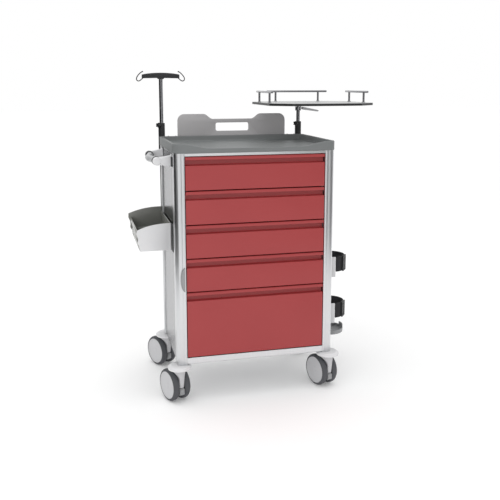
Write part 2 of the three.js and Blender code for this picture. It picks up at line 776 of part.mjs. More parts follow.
function monitorShelf() {
  const group = new THREE.Group();
  group.position.set(poleX, poleY, 0);
  cart.add(group);
  add("shelf_clamp", poleClamp(), blackPlastic, group);
  add("shelf_clamp_knob", clampKnob(), blackPlastic, group);
  const flangeTop = shelfBottom - CLEAR;
  const hubBottom = flangeTop - hubHeight;
  const hubInner = poleRadius - poleWall;
  const flange = turned([
    [hubInner, hubBottom], [hubRadius, hubBottom], [hubRadius, flangeTop - flangeHeight],
    [flangeRadius, flangeTop - flangeHeight + 4], [flangeRadius, flangeTop], [hubInner, flangeTop],
    [hubInner, hubBottom],
  ]);
  const tube = poleTube(flangeTop - 4);
  add("shelf_pole", joined(tube, flange), chrome, group);
  add("shelf_lever", shelfLever(), greyPlastic, group);
  const board = new THREE.Group();
  board.position.set(shelfOffsetX, shelfOffsetY, 0);
  group.add(board);
  add("shelf_board", shelfBoard(), laminate, board);
  for (const [name, { x, y, turn, spacing }] of Object.entries(railSpots)) {
    const rail = add(`shelf_rail_${name}`, shelfRail(spacing), chrome, board);
    rail.position.set(x, y, 0);
    rail.rotation.z = turn;
  }
}

monitorShelf();

// ---------------------------------------------------------------- side handle
const handleX = -halfWidth - handleReach;
const handleZ = columnTop - handleDrop;
const handleFront = columnDepth + handleFrontInset - halfDepth;
const handleBack = halfDepth - columnDepth - handleRearInset;

// A foot on the side panel, an arm and a knuckle that takes the tube's end.
function handleBracket(y) {
  const wall = -panelOuter - CLEAR;
  const knuckle = knuckleLength / 2;
  const arm = polygon(
    [wall, handleZ - 22], [wall, handleZ + 22], [wall - 10, handleZ + 20], [handleX, handleZ + 12],
    [handleX, handleZ - 12], [wall - 10, handleZ - 20],
  );
  return joined(
    alongY(arm, y - 9, y + 9),
    block([wall - 6, y - 10, handleZ - 26], [wall, y + 10, handleZ + 26]),
    rod(knuckleRadius, [handleX, y - knuckle, handleZ], [handleX, y + knuckle, handleZ], 24),
  );
}

function handleTube() {
  const from = handleFront + knuckleLength / 2 + CLEAR;
  const to = handleBack - knuckleLength / 2 - CLEAR;
  const route = [];
  const steps = 12;
  for (let i = 0; i <= steps; i++) {
    const bow = THREE.MathUtils.clamp((i - 1) / (steps - 2), 0, 1); // the first and last steps are straight
    const x = handleX - handleBow * Math.sin(Math.PI * bow) ** 2;
    route.push(V3(x, from + ((to - from) * i) / steps, handleZ));
  }
  const section = new THREE.Shape().absarc(0, 0, handleRadius, 0, Math.PI * 2);
  const path = new THREE.CatmullRomCurve3(route);
  return along(path, section, 7);
}

add("handle_bracket_front", handleBracket(handleFront), whitePlastic);
add("handle_bracket_rear", handleBracket(handleBack), whitePlastic);
add("handle_tube", handleTube(), greyPlastic);

// ---------------------------------------------------------------- side bin
const binFront = binFrontInset - halfDepth;
const binBack = halfDepth - binBackInset;
const binBottom = columnTop - binDrop;
const binWallX = -halfWidth - CLEAR;
const binOuterX = binWallX - binReach;

// The outer wall's x at a height t from 0 (bottom) to 1 (lip): it leans out, with two round ribs.
function binOuterWall(t) {
  const ribs = 4 * Math.exp(-(((t - 0.42) / 0.1) ** 2)) + 3 * Math.exp(-(((t - 0.85) / 0.1) ** 2));
  return binOuterX + binLean * (1 - t) - ribs;
}

const binWallPoints = Array.from({ length: 17 }, (_, i) => i / 16);

// An end of the bin: straight at the cabinet, ribbed outside, with a round top. It may stand above the
// outer wall and proud of it.
function binCheekShape(rise, proud) {
  const top = binBottom + binWallHeight + rise;
  const lip = binLipHeight + rise;
  const shape = new THREE.Shape();
  shape.moveTo(binWallX, binBottom);
  shape.lineTo(binWallX, top);
  shape.quadraticCurveTo(binWallX - binReach * 0.6, top + 1, binOuterWall(1) - proud, binBottom + lip);
  for (const t of [...binWallPoints].reverse().slice(1))
    shape.lineTo(binOuterWall(t) - proud * t, binBottom + lip * t);
  shape.closePath();
  return shape;
}

// The channel between the two ends, with one divider.
function binLiner() {
  const outer = binWallPoints.map((t) => V2(binOuterWall(t), binBottom + binLipHeight * t));
  const inner = binWallPoints
    .filter((t) => t * binLipHeight > binSkin + 1)
    .reverse()
    .map((t) => V2(binOuterWall(t) + binSkin, binBottom + binLipHeight * t));
  const channel = new THREE.Shape([
    V2(binWallX, binBottom),
    V2(binWallX, binBottom + binWallHeight),
    V2(binWallX - binSkin, binBottom + binWallHeight),
    V2(binWallX - binSkin, binBottom + binSkin),
    V2(binOuterWall(0) + binSkin, binBottom + binSkin),
    ...inner.reverse(),
    ...outer.reverse(),
  ]);
  const from = binFront + binCheek + CLEAR;
  const to = binBack - binCheek - CLEAR;
  const middle = (from + to) / 2;
  const divider = new THREE.Shape([
    V2(binWallX - 1, binBottom + 1),
    V2(binWallX - 1, binBottom + binLipHeight - 6),
    V2(binOuterWall(0) + binSkin + 4, binBottom + binLipHeight - 14),
    V2(binOuterWall(0) + 1, binBottom + 1),
  ]);
  return joined(alongY(channel, from, to), alongY(divider, middle - binSkin / 2, middle + binSkin / 2));
}

add("bin_cheek_front", alongY(binCheekShape(0, 0), binFront, binFront + binCheek), whitePlastic);
add(
  "bin_cheek_rear",
  alongY(binCheekShape(binRearRise, binRearProud), binBack - binCheek, binBack),
  smokedPlastic,
);
add("bin_liner", binLiner(), smokedPlastic);

// ---------------------------------------------------------------- gas bottle holder
const saddleOuter = bottleRadius + saddleWall;
const bottleX = halfWidth + bottleGap + saddleOuter;
const cupBottom = columnFoot + cupRise;
const lowerSaddleZ = cupBottom + lowerSaddleRise;
const upperSaddleZ = cupBottom + upperSaddleRise;
const mouthAngle = THREE.MathUtils.degToRad(saddleMouth);

// A ring sector in plan round the bottle's middle.
function sector(inner, outer, from, to) {
  const shape = new THREE.Shape();
  shape.absarc(bottleX, 0, outer, from, to);
  shape.absarc(bottleX, 0, inner, to, from, true);
  shape.closePath();
  return shape;
}

function bottleBracket() {
  const wall = panelOuter + CLEAR;
  const saddle = sector(bottleRadius, saddleOuter, mouthAngle, Math.PI * 2 - mouthAngle);
  const parts = [block([wall, -34, cupBottom + 6], [wall + 4, 34, upperSaddleZ + saddleHeight])];
  for (const z of [upperSaddleZ, lowerSaddleZ]) {
    parts.push(upright(saddle, z, z + saddleHeight, 10));
    parts.push(block([wall + 2, -16, z + 8], [bottleX - bottleRadius - 1, 16, z + saddleHeight - 8]));
  }
  return joined(...parts);
}

// A strap that closes the saddle's mouth.
function bottleStrap(z) {
  const from = (2 * CLEAR) / saddleOuter - mouthAngle;
  const loop = sector(bottleRadius + 1, bottleRadius + 1 + strapThickness, from, -from);
  return upright(loop, z, z + strapHeight, 10);
}

function bottleCup() {
  const outer = bottleRadius + cupWall;
  const dish = turned([
    [0, cupBottom], [outer - 2, cupBottom], [outer, cupBottom + 3], [outer, cupBottom + cupHeight],
    [outer - cupWall, cupBottom + cupHeight], [outer - cupWall, cupBottom + 5], [0, cupBottom + 5],
  ]).translate(bottleX, 0, 0);
  const ear = upright(
    sector(outer - cupWall + 0.5, outer - 0.4, -0.35, 0.35),
    cupBottom + 4, cupBottom + cupHeight + 12,
  );
  const wall = panelOuter + CLEAR + 4 + CLEAR;
  const arm = block([wall, -20, cupBottom + 1], [bottleX - outer + 2, 20, cupBottom + cupHeight - 4]);
  return joined(dish, ear, arm);
}

add("bottle_bracket", bottleBracket(), whitePlastic);
add("bottle_strap_upper", bottleStrap(upperSaddleZ + saddleHeight - strapHeight), blackPlastic);
add("bottle_strap_lower", bottleStrap(lowerSaddleZ + saddleHeight - strapHeight), blackPlastic);
add("bottle_cup", bottleCup(), greyPlastic);

// ---------------------------------------------------------------- central lock
// A half-oval lever on the front of the left column, beside the drawers.
function lockLever() {
  const flat = -bayHalf - 4;
  const lockZ = columnFoot + lockRise;
  const shape = new THREE.Shape();
  shape.moveTo(flat, lockZ - lockHeight / 2);
  shape.lineTo(flat, lockZ + lockHeight / 2);
  shape.absellipse(flat, lockZ, lockWidth, lockHeight / 2, Math.PI / 2, Math.PI * 1.5);
  const face = -halfDepth - CLEAR;
  return alongY(shape, face - lockThickness, face, 10);
}

add("lock_lever", lockLever(), greyPlastic);

// ---------------------------------------------------------------- frame of reference
// The origin is on the floor, under the middle of everything the cart carries.
const reach = new THREE.Box3().setFromObject(cart);
const middle = reach.getCenter(V3(0, 0, 0));
cart.position.set(-middle.x, -middle.y, -reach.min.z);

export default cart;
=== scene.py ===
import json
import math

import bmesh
import bpy
from mathutils import Matrix, Vector


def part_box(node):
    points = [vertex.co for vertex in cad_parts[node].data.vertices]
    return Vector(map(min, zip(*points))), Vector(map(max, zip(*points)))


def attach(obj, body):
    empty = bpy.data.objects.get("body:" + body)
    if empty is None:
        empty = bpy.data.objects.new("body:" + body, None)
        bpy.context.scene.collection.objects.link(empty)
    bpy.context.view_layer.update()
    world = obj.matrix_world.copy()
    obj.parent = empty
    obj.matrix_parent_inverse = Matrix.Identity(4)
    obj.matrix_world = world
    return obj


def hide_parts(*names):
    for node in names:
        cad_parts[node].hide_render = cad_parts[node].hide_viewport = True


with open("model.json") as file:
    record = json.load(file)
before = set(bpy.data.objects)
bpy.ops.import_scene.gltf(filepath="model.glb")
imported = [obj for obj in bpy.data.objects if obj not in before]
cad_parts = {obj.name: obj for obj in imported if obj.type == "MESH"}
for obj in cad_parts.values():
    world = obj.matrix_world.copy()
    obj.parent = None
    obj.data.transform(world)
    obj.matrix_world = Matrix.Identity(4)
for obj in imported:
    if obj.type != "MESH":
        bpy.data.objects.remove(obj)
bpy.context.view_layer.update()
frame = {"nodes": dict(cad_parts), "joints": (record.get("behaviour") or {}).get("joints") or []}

# ---------------------------------------------------------------- camera
# It stands nearly three metres in front of the cart, a little to its left and 20 cm above its worktop, with a
# normal lens. The lens is shifted down a little, so that the cart's uprights stay nearly parallel.
MM = 0.001
left_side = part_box("column_front_left")[0].x
right_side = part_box("column_front_right")[1].x
front_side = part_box("column_front_left")[0].y
back_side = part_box("column_rear_left")[1].y
middle = Vector(((left_side + right_side) / 2, (front_side + back_side) / 2, 0))

camera = bpy.data.objects.new("camera", bpy.data.cameras.new("camera"))
bpy.context.scene.collection.objects.link(camera)
camera.data.lens = 51
camera.data.shift_y = -0.1
camera.location = middle + Vector((-661.4, -2710.5, 1194.9)) * MM
camera.rotation_euler = (math.radians(90 - 9.32), 0, math.radians(-14.21))
bpy.context.scene.camera = camera
bpy.context.scene.view_settings.view_transform = "Standard"

# ---------------------------------------------------------------- corner columns
# Four extruded aluminium profiles with a rounded outer corner, sawn to length and anodised. They carry the
# cart: the panels slide between them, the tray closes their upper ends and the bumpers plug the lower ones.
PLAN = (0, 1, 2)  # an outline drawn in x and y
FRONTAL = (0, 2, 1)  # in x and z
SIDEWAYS = (1, 2, 0)  # in y and z


def linear(hex_colour):
    """An sRGB hex colour as the linear colour that a shader takes."""
    values = [int(hex_colour[i : i + 2], 16) / 255 for i in (1, 3, 5)]
    return [v / 12.92 if v <= 0.04045 else ((v + 0.055) / 1.055) ** 2.4 for v in values] + [1]


def new_material(name):
    material = bpy.data.materials.new(name)
    material.use_nodes = True
    material.node_tree.nodes.clear()
    return material


def add_node(material, kind, settings=None, inputs=None):
    """Adds a node with its settings. An input is a value, or the output that it is linked to."""
    node = material.node_tree.nodes.new(kind)
    for name, value in (settings or {}).items():
        setattr(node, name, value)
    for name, value in (inputs or {}).items():
        if isinstance(value, bpy.types.NodeSocket):
            material.node_tree.links.new(value, node.inputs[name])
        else:
            node.inputs[name].default_value = value
    return node


def give_finish(material, tone, tones, gloss, glosses, relief=None, strength=0, depth=0, **shader):
    """Ends a material in its shader. Colour and roughness each follow a pattern, and so may the relief."""
    colour = add_node(
        material, "ShaderNodeMix", {"data_type": "RGBA"},
        {"Factor": tone, 6: linear(tones[0]), 7: linear(tones[1])},
    )
    roughness = add_node(
        material, "ShaderNodeMapRange", inputs={"Value": gloss, "To Min": glosses[0], "To Max": glosses[1]}
    )
    shader.update({"Base Color": colour.outputs[2], "Roughness": roughness.outputs[0]})
    if relief is not None:
        bumps = add_node(
            material, "ShaderNodeBump", inputs={"Height": relief, "Strength": strength, "Distance": depth}
        )
        shader["Normal"] = bumps.outputs[0]
    skin = add_node(material, "ShaderNodeBsdfPrincipled", inputs=shader)
    add_node(material, "ShaderNodeOutputMaterial", inputs={"Surface": skin.outputs[0]})


def arc(centre, radius, start, end, steps=8):
    """Points on an arc, with its angles in degrees."""
    angles = [math.radians(start + (end - start) * i / steps) for i in range(steps + 1)]
    return [(centre[0] + radius * math.cos(a), centre[1] + radius * math.sin(a)) for a in angles]


def place(axes, u, v, w):
    """A point of a drawing, u across and v up, at w from its plane."""
    point = [0, 0, 0]
    for axis, value in zip(axes, (u, v, w)):
        point[axis] = value
    return point


def dressed(mesh, edge=0, segments=2, sharp=32):
    """Welds a mesh, rounds its sharp edges by a radius and shades it smooth between those left."""
    shape = bmesh.new()
    shape.from_mesh(mesh)
    bmesh.ops.remove_doubles(shape, verts=shape.verts, dist=1e-6)
    bmesh.ops.dissolve_degenerate(shape, edges=shape.edges, dist=1e-6)
    bmesh.ops.recalc_face_normals(shape, faces=shape.faces)
    if edge:
        corners = [e for e in shape.edges if e.is_manifold and e.calc_face_angle() > math.radians(sharp)]
        bmesh.ops.bevel(
            shape, geom=corners, offset=edge, segments=segments, profile=0.5, affect="EDGES",
            clamp_overlap=True,
        )
    shape.to_mesh(mesh)
    shape.free()
    mesh.polygons.foreach_set("use_smooth", [True] * len(mesh.polygons))
    mesh.set_sharp_from_angle(angle=math.radians(sharp))
    return mesh


def skinned(rings, closed=False, **finish):
    """A skin over a row of rings of points, closed at both ends or, if closed, back onto its first ring."""
    count = len(rings[0])
    rows = len(rings)
    faces = []
    for row in range(rows if closed else rows - 1):
        a = row * count
        b = (row + 1) % rows * count
        faces += [(a + i, a + (i + 1) % count, b + (i + 1) % count, b + i) for i in range(count)]
    if not closed:
        faces += [tuple(range(count)), tuple(range((rows - 1) * count, rows * count))]
    mesh = bpy.data.meshes.new("skin")
    mesh.from_pydata([point for ring in rings for point in ring], [], faces)
    return dressed(mesh, **finish)


def prism(axes, outline, low, high, **finish):
    """A drawn outline, from one depth to another."""
    return skinned([[place(axes, u, v, w) for u, v in outline] for w in (low, high)], **finish)


def joined(*meshes):
    whole = bmesh.new()
    for mesh in meshes:
        whole.from_mesh(mesh)
    result = bpy.data.meshes.new("joined")
    whole.to_mesh(result)
    whole.free()
    return result


def make_piece(name, mesh, material, body, slot, *stands_for):
    """A piece with one material that rides on a body, in place of the plain solids named last."""
    piece = bpy.data.objects.new(name, mesh)
    bpy.context.scene.collection.objects.link(piece)
    mesh.materials.clear()
    mesh.materials.append(material)
    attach(piece, body)
    if stands_for:
        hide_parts(*stands_for)
    return piece


# Satin anodised aluminium: a clear oxide over bright metal, with the fine lines that the extrusion die
# left along it. It gives a soft, slightly streaked reflection.
anodised = new_material("satin_anodised_aluminium")
place_in = add_node(anodised, "ShaderNodeTexCoord")
die_lines = add_node(
    anodised, "ShaderNodeMapping",
    inputs={"Vector": place_in.outputs["Object"], "Scale": (1 / (3 * MM), 1 / (3 * MM), 1 / (900 * MM))},
)
streaks = add_node(
    anodised, "ShaderNodeTexNoise", inputs={"Vector": die_lines.outputs[0], "Scale": 1, "Detail": 3}
)
streak = streaks.outputs[0]
give_finish(
    anodised, streak, ("#d4d5d7", "#dfe0e1"), streak, (0.27, 0.4), streak, 0.06, 0.3 * MM, Metallic=1
)

column_width = 37.5 * MM
column_depth = 44 * MM
column_corner = 15 * MM
column_edge = 0.35 * MM  # the small radius that the die leaves on every corner
groove_place = 25 * MM  # from the outer corner to the fine groove down the front
groove_half = 0.7 * MM
CORNERS = {"front_left": (-1, -1), "front_right": (1, -1), "rear_left": (-1, 1), "rear_right": (1, 1)}


def column_outline(side_x, side_y):
    """The profile in plan, drawn inwards from its outer corner."""
    inward = [
        (column_width, column_depth), (column_width, 0), (groove_place + groove_half, 0),
        (groove_place, groove_half), (groove_place - groove_half, 0),
    ]
    inward += arc((column_corner, column_corner), column_corner, 270, 180, 12)
    inward += [(0, column_depth)]
    corner_x = right_side if side_x > 0 else left_side
    corner_y = back_side if side_y > 0 else front_side
    return [(corner_x - side_x * x, corner_y - side_y * y) for x, y in inward]


for corner, (side_x, side_y) in CORNERS.items():
    low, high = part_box(f"column_{corner}")
    mesh = prism(PLAN, column_outline(side_x, side_y), low.z, high.z, edge=column_edge)
    make_piece(
        f"column_{corner}_profile", mesh, anodised, "cabinet", "anodised_aluminium", f"column_{corner}"
    )

# ---------------------------------------------------------------- side panels and rails
# Finely fluted aluminium sheets fill the cart's sides. Two anodised rails frame the drawers: a thin one above
# them and a taller one below, whose lower edge is rolled under.

# Bright-rolled aluminium: a grey metal that mirrors softly what hangs on it, with faint roll lines.
bright_sheet = new_material("bright_rolled_aluminium")
place_in = add_node(bright_sheet, "ShaderNodeTexCoord")
roll_lines = add_node(
    bright_sheet, "ShaderNodeMapping",
    inputs={"Vector": place_in.outputs["Object"], "Scale": (1 / (5 * MM), 1 / (5 * MM), 1 / (600 * MM))},
)
rolled_in = add_node(
    bright_sheet, "ShaderNodeTexNoise", inputs={"Vector": roll_lines.outputs[0], "Scale": 1, "Detail": 2}
)
rolled = rolled_in.outputs[0]
give_finish(bright_sheet, rolled, ("#939395", "#9d9d9f"), rolled, (0.22, 0.28), Metallic=1)

flute_pitch = 12 * MM
flute_depth = 0.3 * MM
for side in ("left", "right"):
    low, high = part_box(f"side_panel_{side}")
    outer, inner = (low.x, high.x) if side == "left" else (high.x, low.x)
    inwards = math.copysign(flute_depth, inner - outer)
    flutes = round((high.y - low.y) / flute_pitch)
    steps = flutes * 8
    outline = [(inner, high.y), (inner, low.y)]
    for i in range(steps + 1):
        hollow = (1 - math.cos(2 * math.pi * flutes * i / steps)) / 2
        outline.append((outer + inwards * hollow**2, low.y + (high.y - low.y) * i / steps))
    mesh = prism(PLAN, outline, low.z, high.z)
    make_piece(
        f"side_panel_{side}_flutes", mesh, bright_sheet, "cabinet", "anodised_aluminium", f"side_panel_{side}"
    )

column_gap = 0.2 * MM
bay_left = left_side + column_width + column_gap
bay_right = right_side - column_width - column_gap
pan_low, pan_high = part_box("base_pan")
frame_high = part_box("inner_frame")[1]
drawers_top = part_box("drawer_front_1")[1].z

rail_low = pan_low.z - 2 * MM
rail_high = pan_high.z
rail_face = front_side + 0.1 * MM
rail_inside = rail_face + 1.5 * MM
flange_end = rail_face + 16 * MM
sheet_edge = 1 * MM
roll_radius = 5 * MM
bottom_rail = arc((rail_face + roll_radius, rail_low + roll_radius), roll_radius, 180, 270)
bottom_rail += [
    (flange_end, rail_low), (flange_end, rail_low + sheet_edge), (rail_inside, rail_low + 6 * MM),
    (rail_inside, rail_high - sheet_edge), (flange_end, rail_high - sheet_edge), (flange_end, rail_high),
    (rail_face + sheet_edge, rail_high), (rail_face, rail_high - sheet_edge),
]
mesh = prism(SIDEWAYS, bottom_rail, bay_left, bay_right)
make_piece("bottom_rail", mesh, anodised, "cabinet", "anodised_aluminium")

top_rail_back = rail_face + 0.7 * MM
top_rail = [
    (rail_face, drawers_top + 2.6 * MM), (top_rail_back, drawers_top + 2 * MM),
    (top_rail_back, frame_high.z), (rail_face, frame_high.z - 0.6 * MM),
]
mesh = prism(SIDEWAYS, top_rail, bay_left, bay_right)
make_piece("top_rail", mesh, anodised, "cabinet", "anodised_aluminium")

# ---------------------------------------------------------------- back panel
# A steel sheet with a raised field pressed into it, powder coated in grey and screwed on along its two
# upright edges.

# Powder coat melts to a fine orange peel about 1.5 mm across, drawn a little coarser here so that it shows.
powder = new_material("grey_powder_coat")
place_in = add_node(powder, "ShaderNodeTexCoord")
peel = add_node(
    powder, "ShaderNodeTexNoise",
    inputs={"Vector": place_in.outputs["Object"], "Scale": 1 / (2 * MM), "Detail": 2},
)
cloud = add_node(
    powder, "ShaderNodeTexNoise", inputs={"Vector": place_in.outputs["Object"], "Scale": 6, "Detail": 3}
)
give_finish(
    powder, cloud.outputs[0], ("#a6a4a5", "#afadae"), peel.outputs[0], (0.42, 0.52),
    peel.outputs[0], 0.12, 0.2 * MM, IOR=1.5,
)

# Zinc-coated steel: a dull metal with faint crystals a few millimetres across.
zinc = new_material("zinc_coated_steel")
place_in = add_node(zinc, "ShaderNodeTexCoord")
crystals = add_node(
    zinc, "ShaderNodeTexVoronoi", inputs={"Vector": place_in.outputs["Object"], "Scale": 1 / (7 * MM)}
)
crystal = crystals.outputs["Color"]
give_finish(zinc, crystal, ("#b2b3b5", "#bcbdbf"), crystal, (0.36, 0.5), Metallic=1)


def rounded(half_x, half_y, radius, across=1, along=1, steps=6):
    """A rectangle with round corners round (0, 0), its sides cut into equal lengths."""
    x, y = half_x - radius, half_y - radius
    centres = ((x, y), (-x, y), (-x, -y), (x, -y))
    next_starts = ((-x, half_y), (-half_x, -y), (x, -half_y), (half_x, y))
    points = []
    for turn, (centre, ends) in enumerate(zip(centres, next_starts)):
        points += arc(centre, radius, 90 * turn, 90 * turn + 90, steps)
        count = across if turn % 2 == 0 else along
        start = points[-1]
        points += [
            (start[0] + (ends[0] - start[0]) * i / count, start[1] + (ends[1] - start[1]) * i / count)
            for i in range(1, count)
        ]
    return points


def block(low, high, edge=1 * MM, segments=2):
    """A rounded block between two corners."""
    outline = [(low[0], low[1]), (high[0], low[1]), (high[0], high[1]), (low[0], high[1])]
    return prism(PLAN, outline, low[2], high[2], edge=edge, segments=segments)


def turned(profile, steps=48, matrix=None, closed=False, **finish):
    """A profile of (radius, height) points turned round the z axis, then moved by a matrix."""
    angles = [2 * math.pi * i / steps for i in range(steps)]
    rings = [[(r * math.cos(a), r * math.sin(a), h) for a in angles] for r, h in profile]
    mesh = skinned(rings, closed, **finish)
    if matrix:
        mesh.transform(matrix)
    return mesh


def screw_head(at, direction, radius=4 * MM):
    """A low domed head with a hexagon socket, facing a direction."""
    socket = radius * 0.45
    side = radius * 0.25
    bottom = radius * 0.1
    dome = [(radius, 0), (radius, side)]
    dome += [(radius * math.cos(a), side + radius * 0.35 * math.sin(a)) for a in (0.5, 0.8, 1.0)]
    dome += [(socket, radius * 0.57), (socket * 0.95, bottom), (0, bottom)]
    turn = Vector(direction).to_track_quat("Z", "Y").to_matrix().to_4x4()
    return turned([(0, 0)] + dome, 18, Matrix.Translation(at) @ turn)


low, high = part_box("back_panel")
field_border = 36 * MM
field = [
    (low.x + field_border, low.z + field_border), (high.x - field_border, low.z + field_border),
    (high.x - field_border, high.z - field_border), (low.x + field_border, high.z - field_border),
]
sheet = prism(
    FRONTAL, [(low.x, low.z), (high.x, low.z), (high.x, high.z), (low.x, high.z)],
    low.y, high.y, edge=0.8 * MM,
)
pressed = prism(FRONTAL, field, high.y - 1 * MM, high.y + 2.5 * MM, edge=2 * MM, segments=3)
make_piece("back_panel_sheet", joined(sheet, pressed), powder, "cabinet", "grey_enamel", "back_panel")
heads = []
screw_inset = 15 * MM
for x in (low.x + screw_inset, high.x - screw_inset):
    for share in (0.05, 0.35, 0.65, 0.95):
        heads.append(screw_head((x, high.y, low.z + (high.z - low.z) * share), (0, 1, 0)))
make_piece("back_panel_screws", joined(*heads), zinc, "cabinet", "steel_sheet")

# ---------------------------------------------------------------- base pan, inner frame and runners
# The floor of the cabinet is a folded pan, notched for the columns. A welded cage stands inside and carries
# the outer halves of the drawer slides, which are strips of zinc-coated sheet.
notch_y = column_depth + 0.3 * MM
pan_front = rail_face + 2 * MM


def pan_outline(inset):
    wide_left, wide_right = pan_low.x + inset, pan_high.x - inset
    narrow_left, narrow_right = bay_left + inset, bay_right - inset
    ahead, behind = pan_front + inset, pan_high.y - inset
    deep_front, deep_back = front_side + notch_y + inset, back_side - notch_y - inset
    return [
        (narrow_left, ahead), (narrow_right, ahead), (narrow_right, deep_front), (wide_right, deep_front),
        (wide_right, deep_back), (narrow_right, deep_back), (narrow_right, behind), (narrow_left, behind),
        (narrow_left, deep_back), (wide_left, deep_back), (wide_left, deep_front), (narrow_left, deep_front),
    ]


pan_wall = 2.5 * MM
pan_rim = rail_high - 2 * MM
pan_rings = [(0, pan_low.z), (0, pan_rim), (pan_wall, pan_rim), (pan_wall, pan_low.z + pan_wall)]
rings = [[(x, y, z) for x, y in pan_outline(inset)] for inset, z in pan_rings]
make_piece("base_floor", skinned(rings), zinc, "cabinet", "steel_sheet", "base_pan")

drawer_numbers = range(1, 6)
slide_rise = 32 * MM  # from a drawer front's lower edge to the middle of its slides
outer_half = 20 * MM
for drawer in drawer_numbers:
    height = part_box(f"drawer_front_{drawer}")[0].z + slide_rise
    low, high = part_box(f"drawer_box_{drawer}")
    for side, edge_x, out in (("left", low.x, -1), ("right", high.x, 1)):
        near, far = edge_x + out * 0.2 * MM, edge_x + out * 0.9 * MM
        strip = [
            (near, height - outer_half), (far, height - outer_half), (far, height + outer_half),
            (near, height + outer_half),
        ]
        mesh = prism(FRONTAL, strip, low.y + 2 * MM, frame_high.y - 4 * MM)
        make_piece(f"slide_{drawer}_{side}_outer", mesh, zinc, "cabinet", "steel_sheet")
# The cage is plain welded bar, so its own solid is shown, with the same coating.
frame["nodes"]["inner_frame"].data.materials.clear()
frame["nodes"]["inner_frame"].data.materials.append(zinc)

# ---------------------------------------------------------------- drawers
# Five steel drawers. Each front is folded from one sheet with a rolled top edge and a finger groove under
# it, then stove enamelled; the box behind it is zinc-coated sheet with a folded rim and steel slides.

# Stove enamel: a smooth colour coat between satin and gloss, with a faint orange peel.
enamel = new_material("red_stove_enamel")
place_in = add_node(enamel, "ShaderNodeTexCoord")
enamel_peel = add_node(
    enamel, "ShaderNodeTexNoise",
    inputs={"Vector": place_in.outputs["Object"], "Scale": 1 / (2.5 * MM), "Detail": 1},
)
enamel_cloud = add_node(
    enamel, "ShaderNodeTexNoise", inputs={"Vector": place_in.outputs["Object"], "Scale": 5, "Detail": 2}
)
give_finish(
    enamel, enamel_cloud.outputs[0], ("#9a3234", "#a23839"), enamel_cloud.outputs[0], (0.36, 0.44),
    enamel_peel.outputs[0], 0.08, 0.2 * MM, IOR=1.5,
)

lip_height = 13 * MM
groove_height = 19 * MM
groove_depth = 18 * MM


def drawer_front_profile(face, back, low, high):
    """From the lower edge up the face, through the groove and over the rolled lip."""
    groove_top = high - lip_height
    groove_bottom = groove_top - groove_height
    floor = face + groove_depth
    profile = arc((face + 2 * MM, low + 2 * MM), 2 * MM, 270, 180, 4)
    profile += arc((face + 2.5 * MM, groove_bottom - 2.5 * MM), 2.5 * MM, 180, 90, 5)
    profile += arc((floor - 6 * MM, groove_bottom + 6 * MM), 6 * MM, 270, 360, 6)
    profile += arc((floor - 5 * MM, groove_top - 3 * MM), 5 * MM, 0, 90, 6)
    profile += arc((face + 2 * MM, groove_top + 3 * MM), 2 * MM, 270, 180, 4)
    profile += arc((face + 4 * MM, high - 4 * MM), 4 * MM, 180, 90, 6)
    return profile + [(back, high), (back, low)]


def drawer_box_rings(low, high, slide):
    """From under the box up its outside, over the folded rim and down to its floor."""
    half_x, half_y = (high.x - low.x) / 2 - slide, (high.y - low.y) / 2
    centre = (low + high) / 2
    wall = 1.2 * MM
    fold = 7 * MM
    steps = [
        (2 * MM, low.z), (0, low.z + 2 * MM), (0, high.z - 1.5 * MM), (0.5 * MM, high.z),
        (fold, high.z), (fold, high.z - wall), (wall, high.z - wall), (wall, low.z + 3 * MM),
        (3 * MM, low.z + wall),
    ]
    return [
        [(centre.x + x, centre.y + y, z) for x, y in rounded(half_x - inset, half_y - inset, 8 * MM)]
        for inset, z in steps
    ]


slide_width = 6 * MM
slide_half = 9 * MM
slide_sheet = 1.2 * MM
slide_lip = 4 * MM
for drawer in drawer_numbers:
    body = f"drawer_{drawer}"
    low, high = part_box(f"drawer_front_{drawer}")
    profile = drawer_front_profile(low.y, high.y, low.z, high.z)
    mesh = prism(SIDEWAYS, profile, low.x, high.x)
    make_piece(f"{body}_front", mesh, enamel, body, "red_enamel", f"drawer_front_{drawer}")
    height = low.z + slide_rise
    low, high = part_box(f"drawer_box_{drawer}")
    rings = drawer_box_rings(low, high, slide_width)
    make_piece(f"{body}_tray", skinned(rings), zinc, body, "steel_sheet", f"drawer_box_{drawer}")
    for side, edge_x, inward in (("left", low.x, 1), ("right", high.x, -1)):
        mouth, web = edge_x, edge_x + inward * slide_width
        lip_inside, web_inside = mouth + inward * slide_sheet, web - inward * slide_sheet
        bottom, top = height - slide_half, height + slide_half
        outline = [
            (web, bottom), (mouth, bottom), (mouth, bottom + slide_lip), (lip_inside, bottom + slide_lip),
            (lip_inside, bottom + slide_sheet), (web_inside, bottom + slide_sheet),
            (web_inside, top - slide_sheet), (lip_inside, top - slide_sheet), (lip_inside, top - slide_lip),
            (mouth, top - slide_lip), (mouth, top), (web, top),
        ]
        mesh = prism(FRONTAL, outline, low.y + 8 * MM, high.y - 8 * MM)
        make_piece(f"slide_{drawer}_{side}_inner", mesh, zinc, body, "steel_sheet")

# ---------------------------------------------------------------- worktop
# A shallow tray moulded in tough grey plastic and pressed down over the columns. Its rim dips along the
# front, so that a hand reaches in flat.


def moulded(name, dark, light, gloss, grain, relief):
    """An injection-moulded plastic, whose tone drifts a little, with the grain of its mould."""
    plastic = new_material(name)
    inside = add_node(plastic, "ShaderNodeTexCoord").outputs["Object"]
    drift = add_node(plastic, "ShaderNodeTexNoise", inputs={"Vector": inside, "Scale": 12, "Detail": 2})
    mould = add_node(
        plastic, "ShaderNodeTexNoise", inputs={"Vector": inside, "Scale": 1 / grain, "Detail": 2}
    )
    give_finish(
        plastic, drift.outputs[0], (dark, light), mould.outputs[0], (gloss - 0.05, gloss + 0.05),
        mould.outputs[0], relief, 0.2 * MM, IOR=1.5,
    )
    return plastic


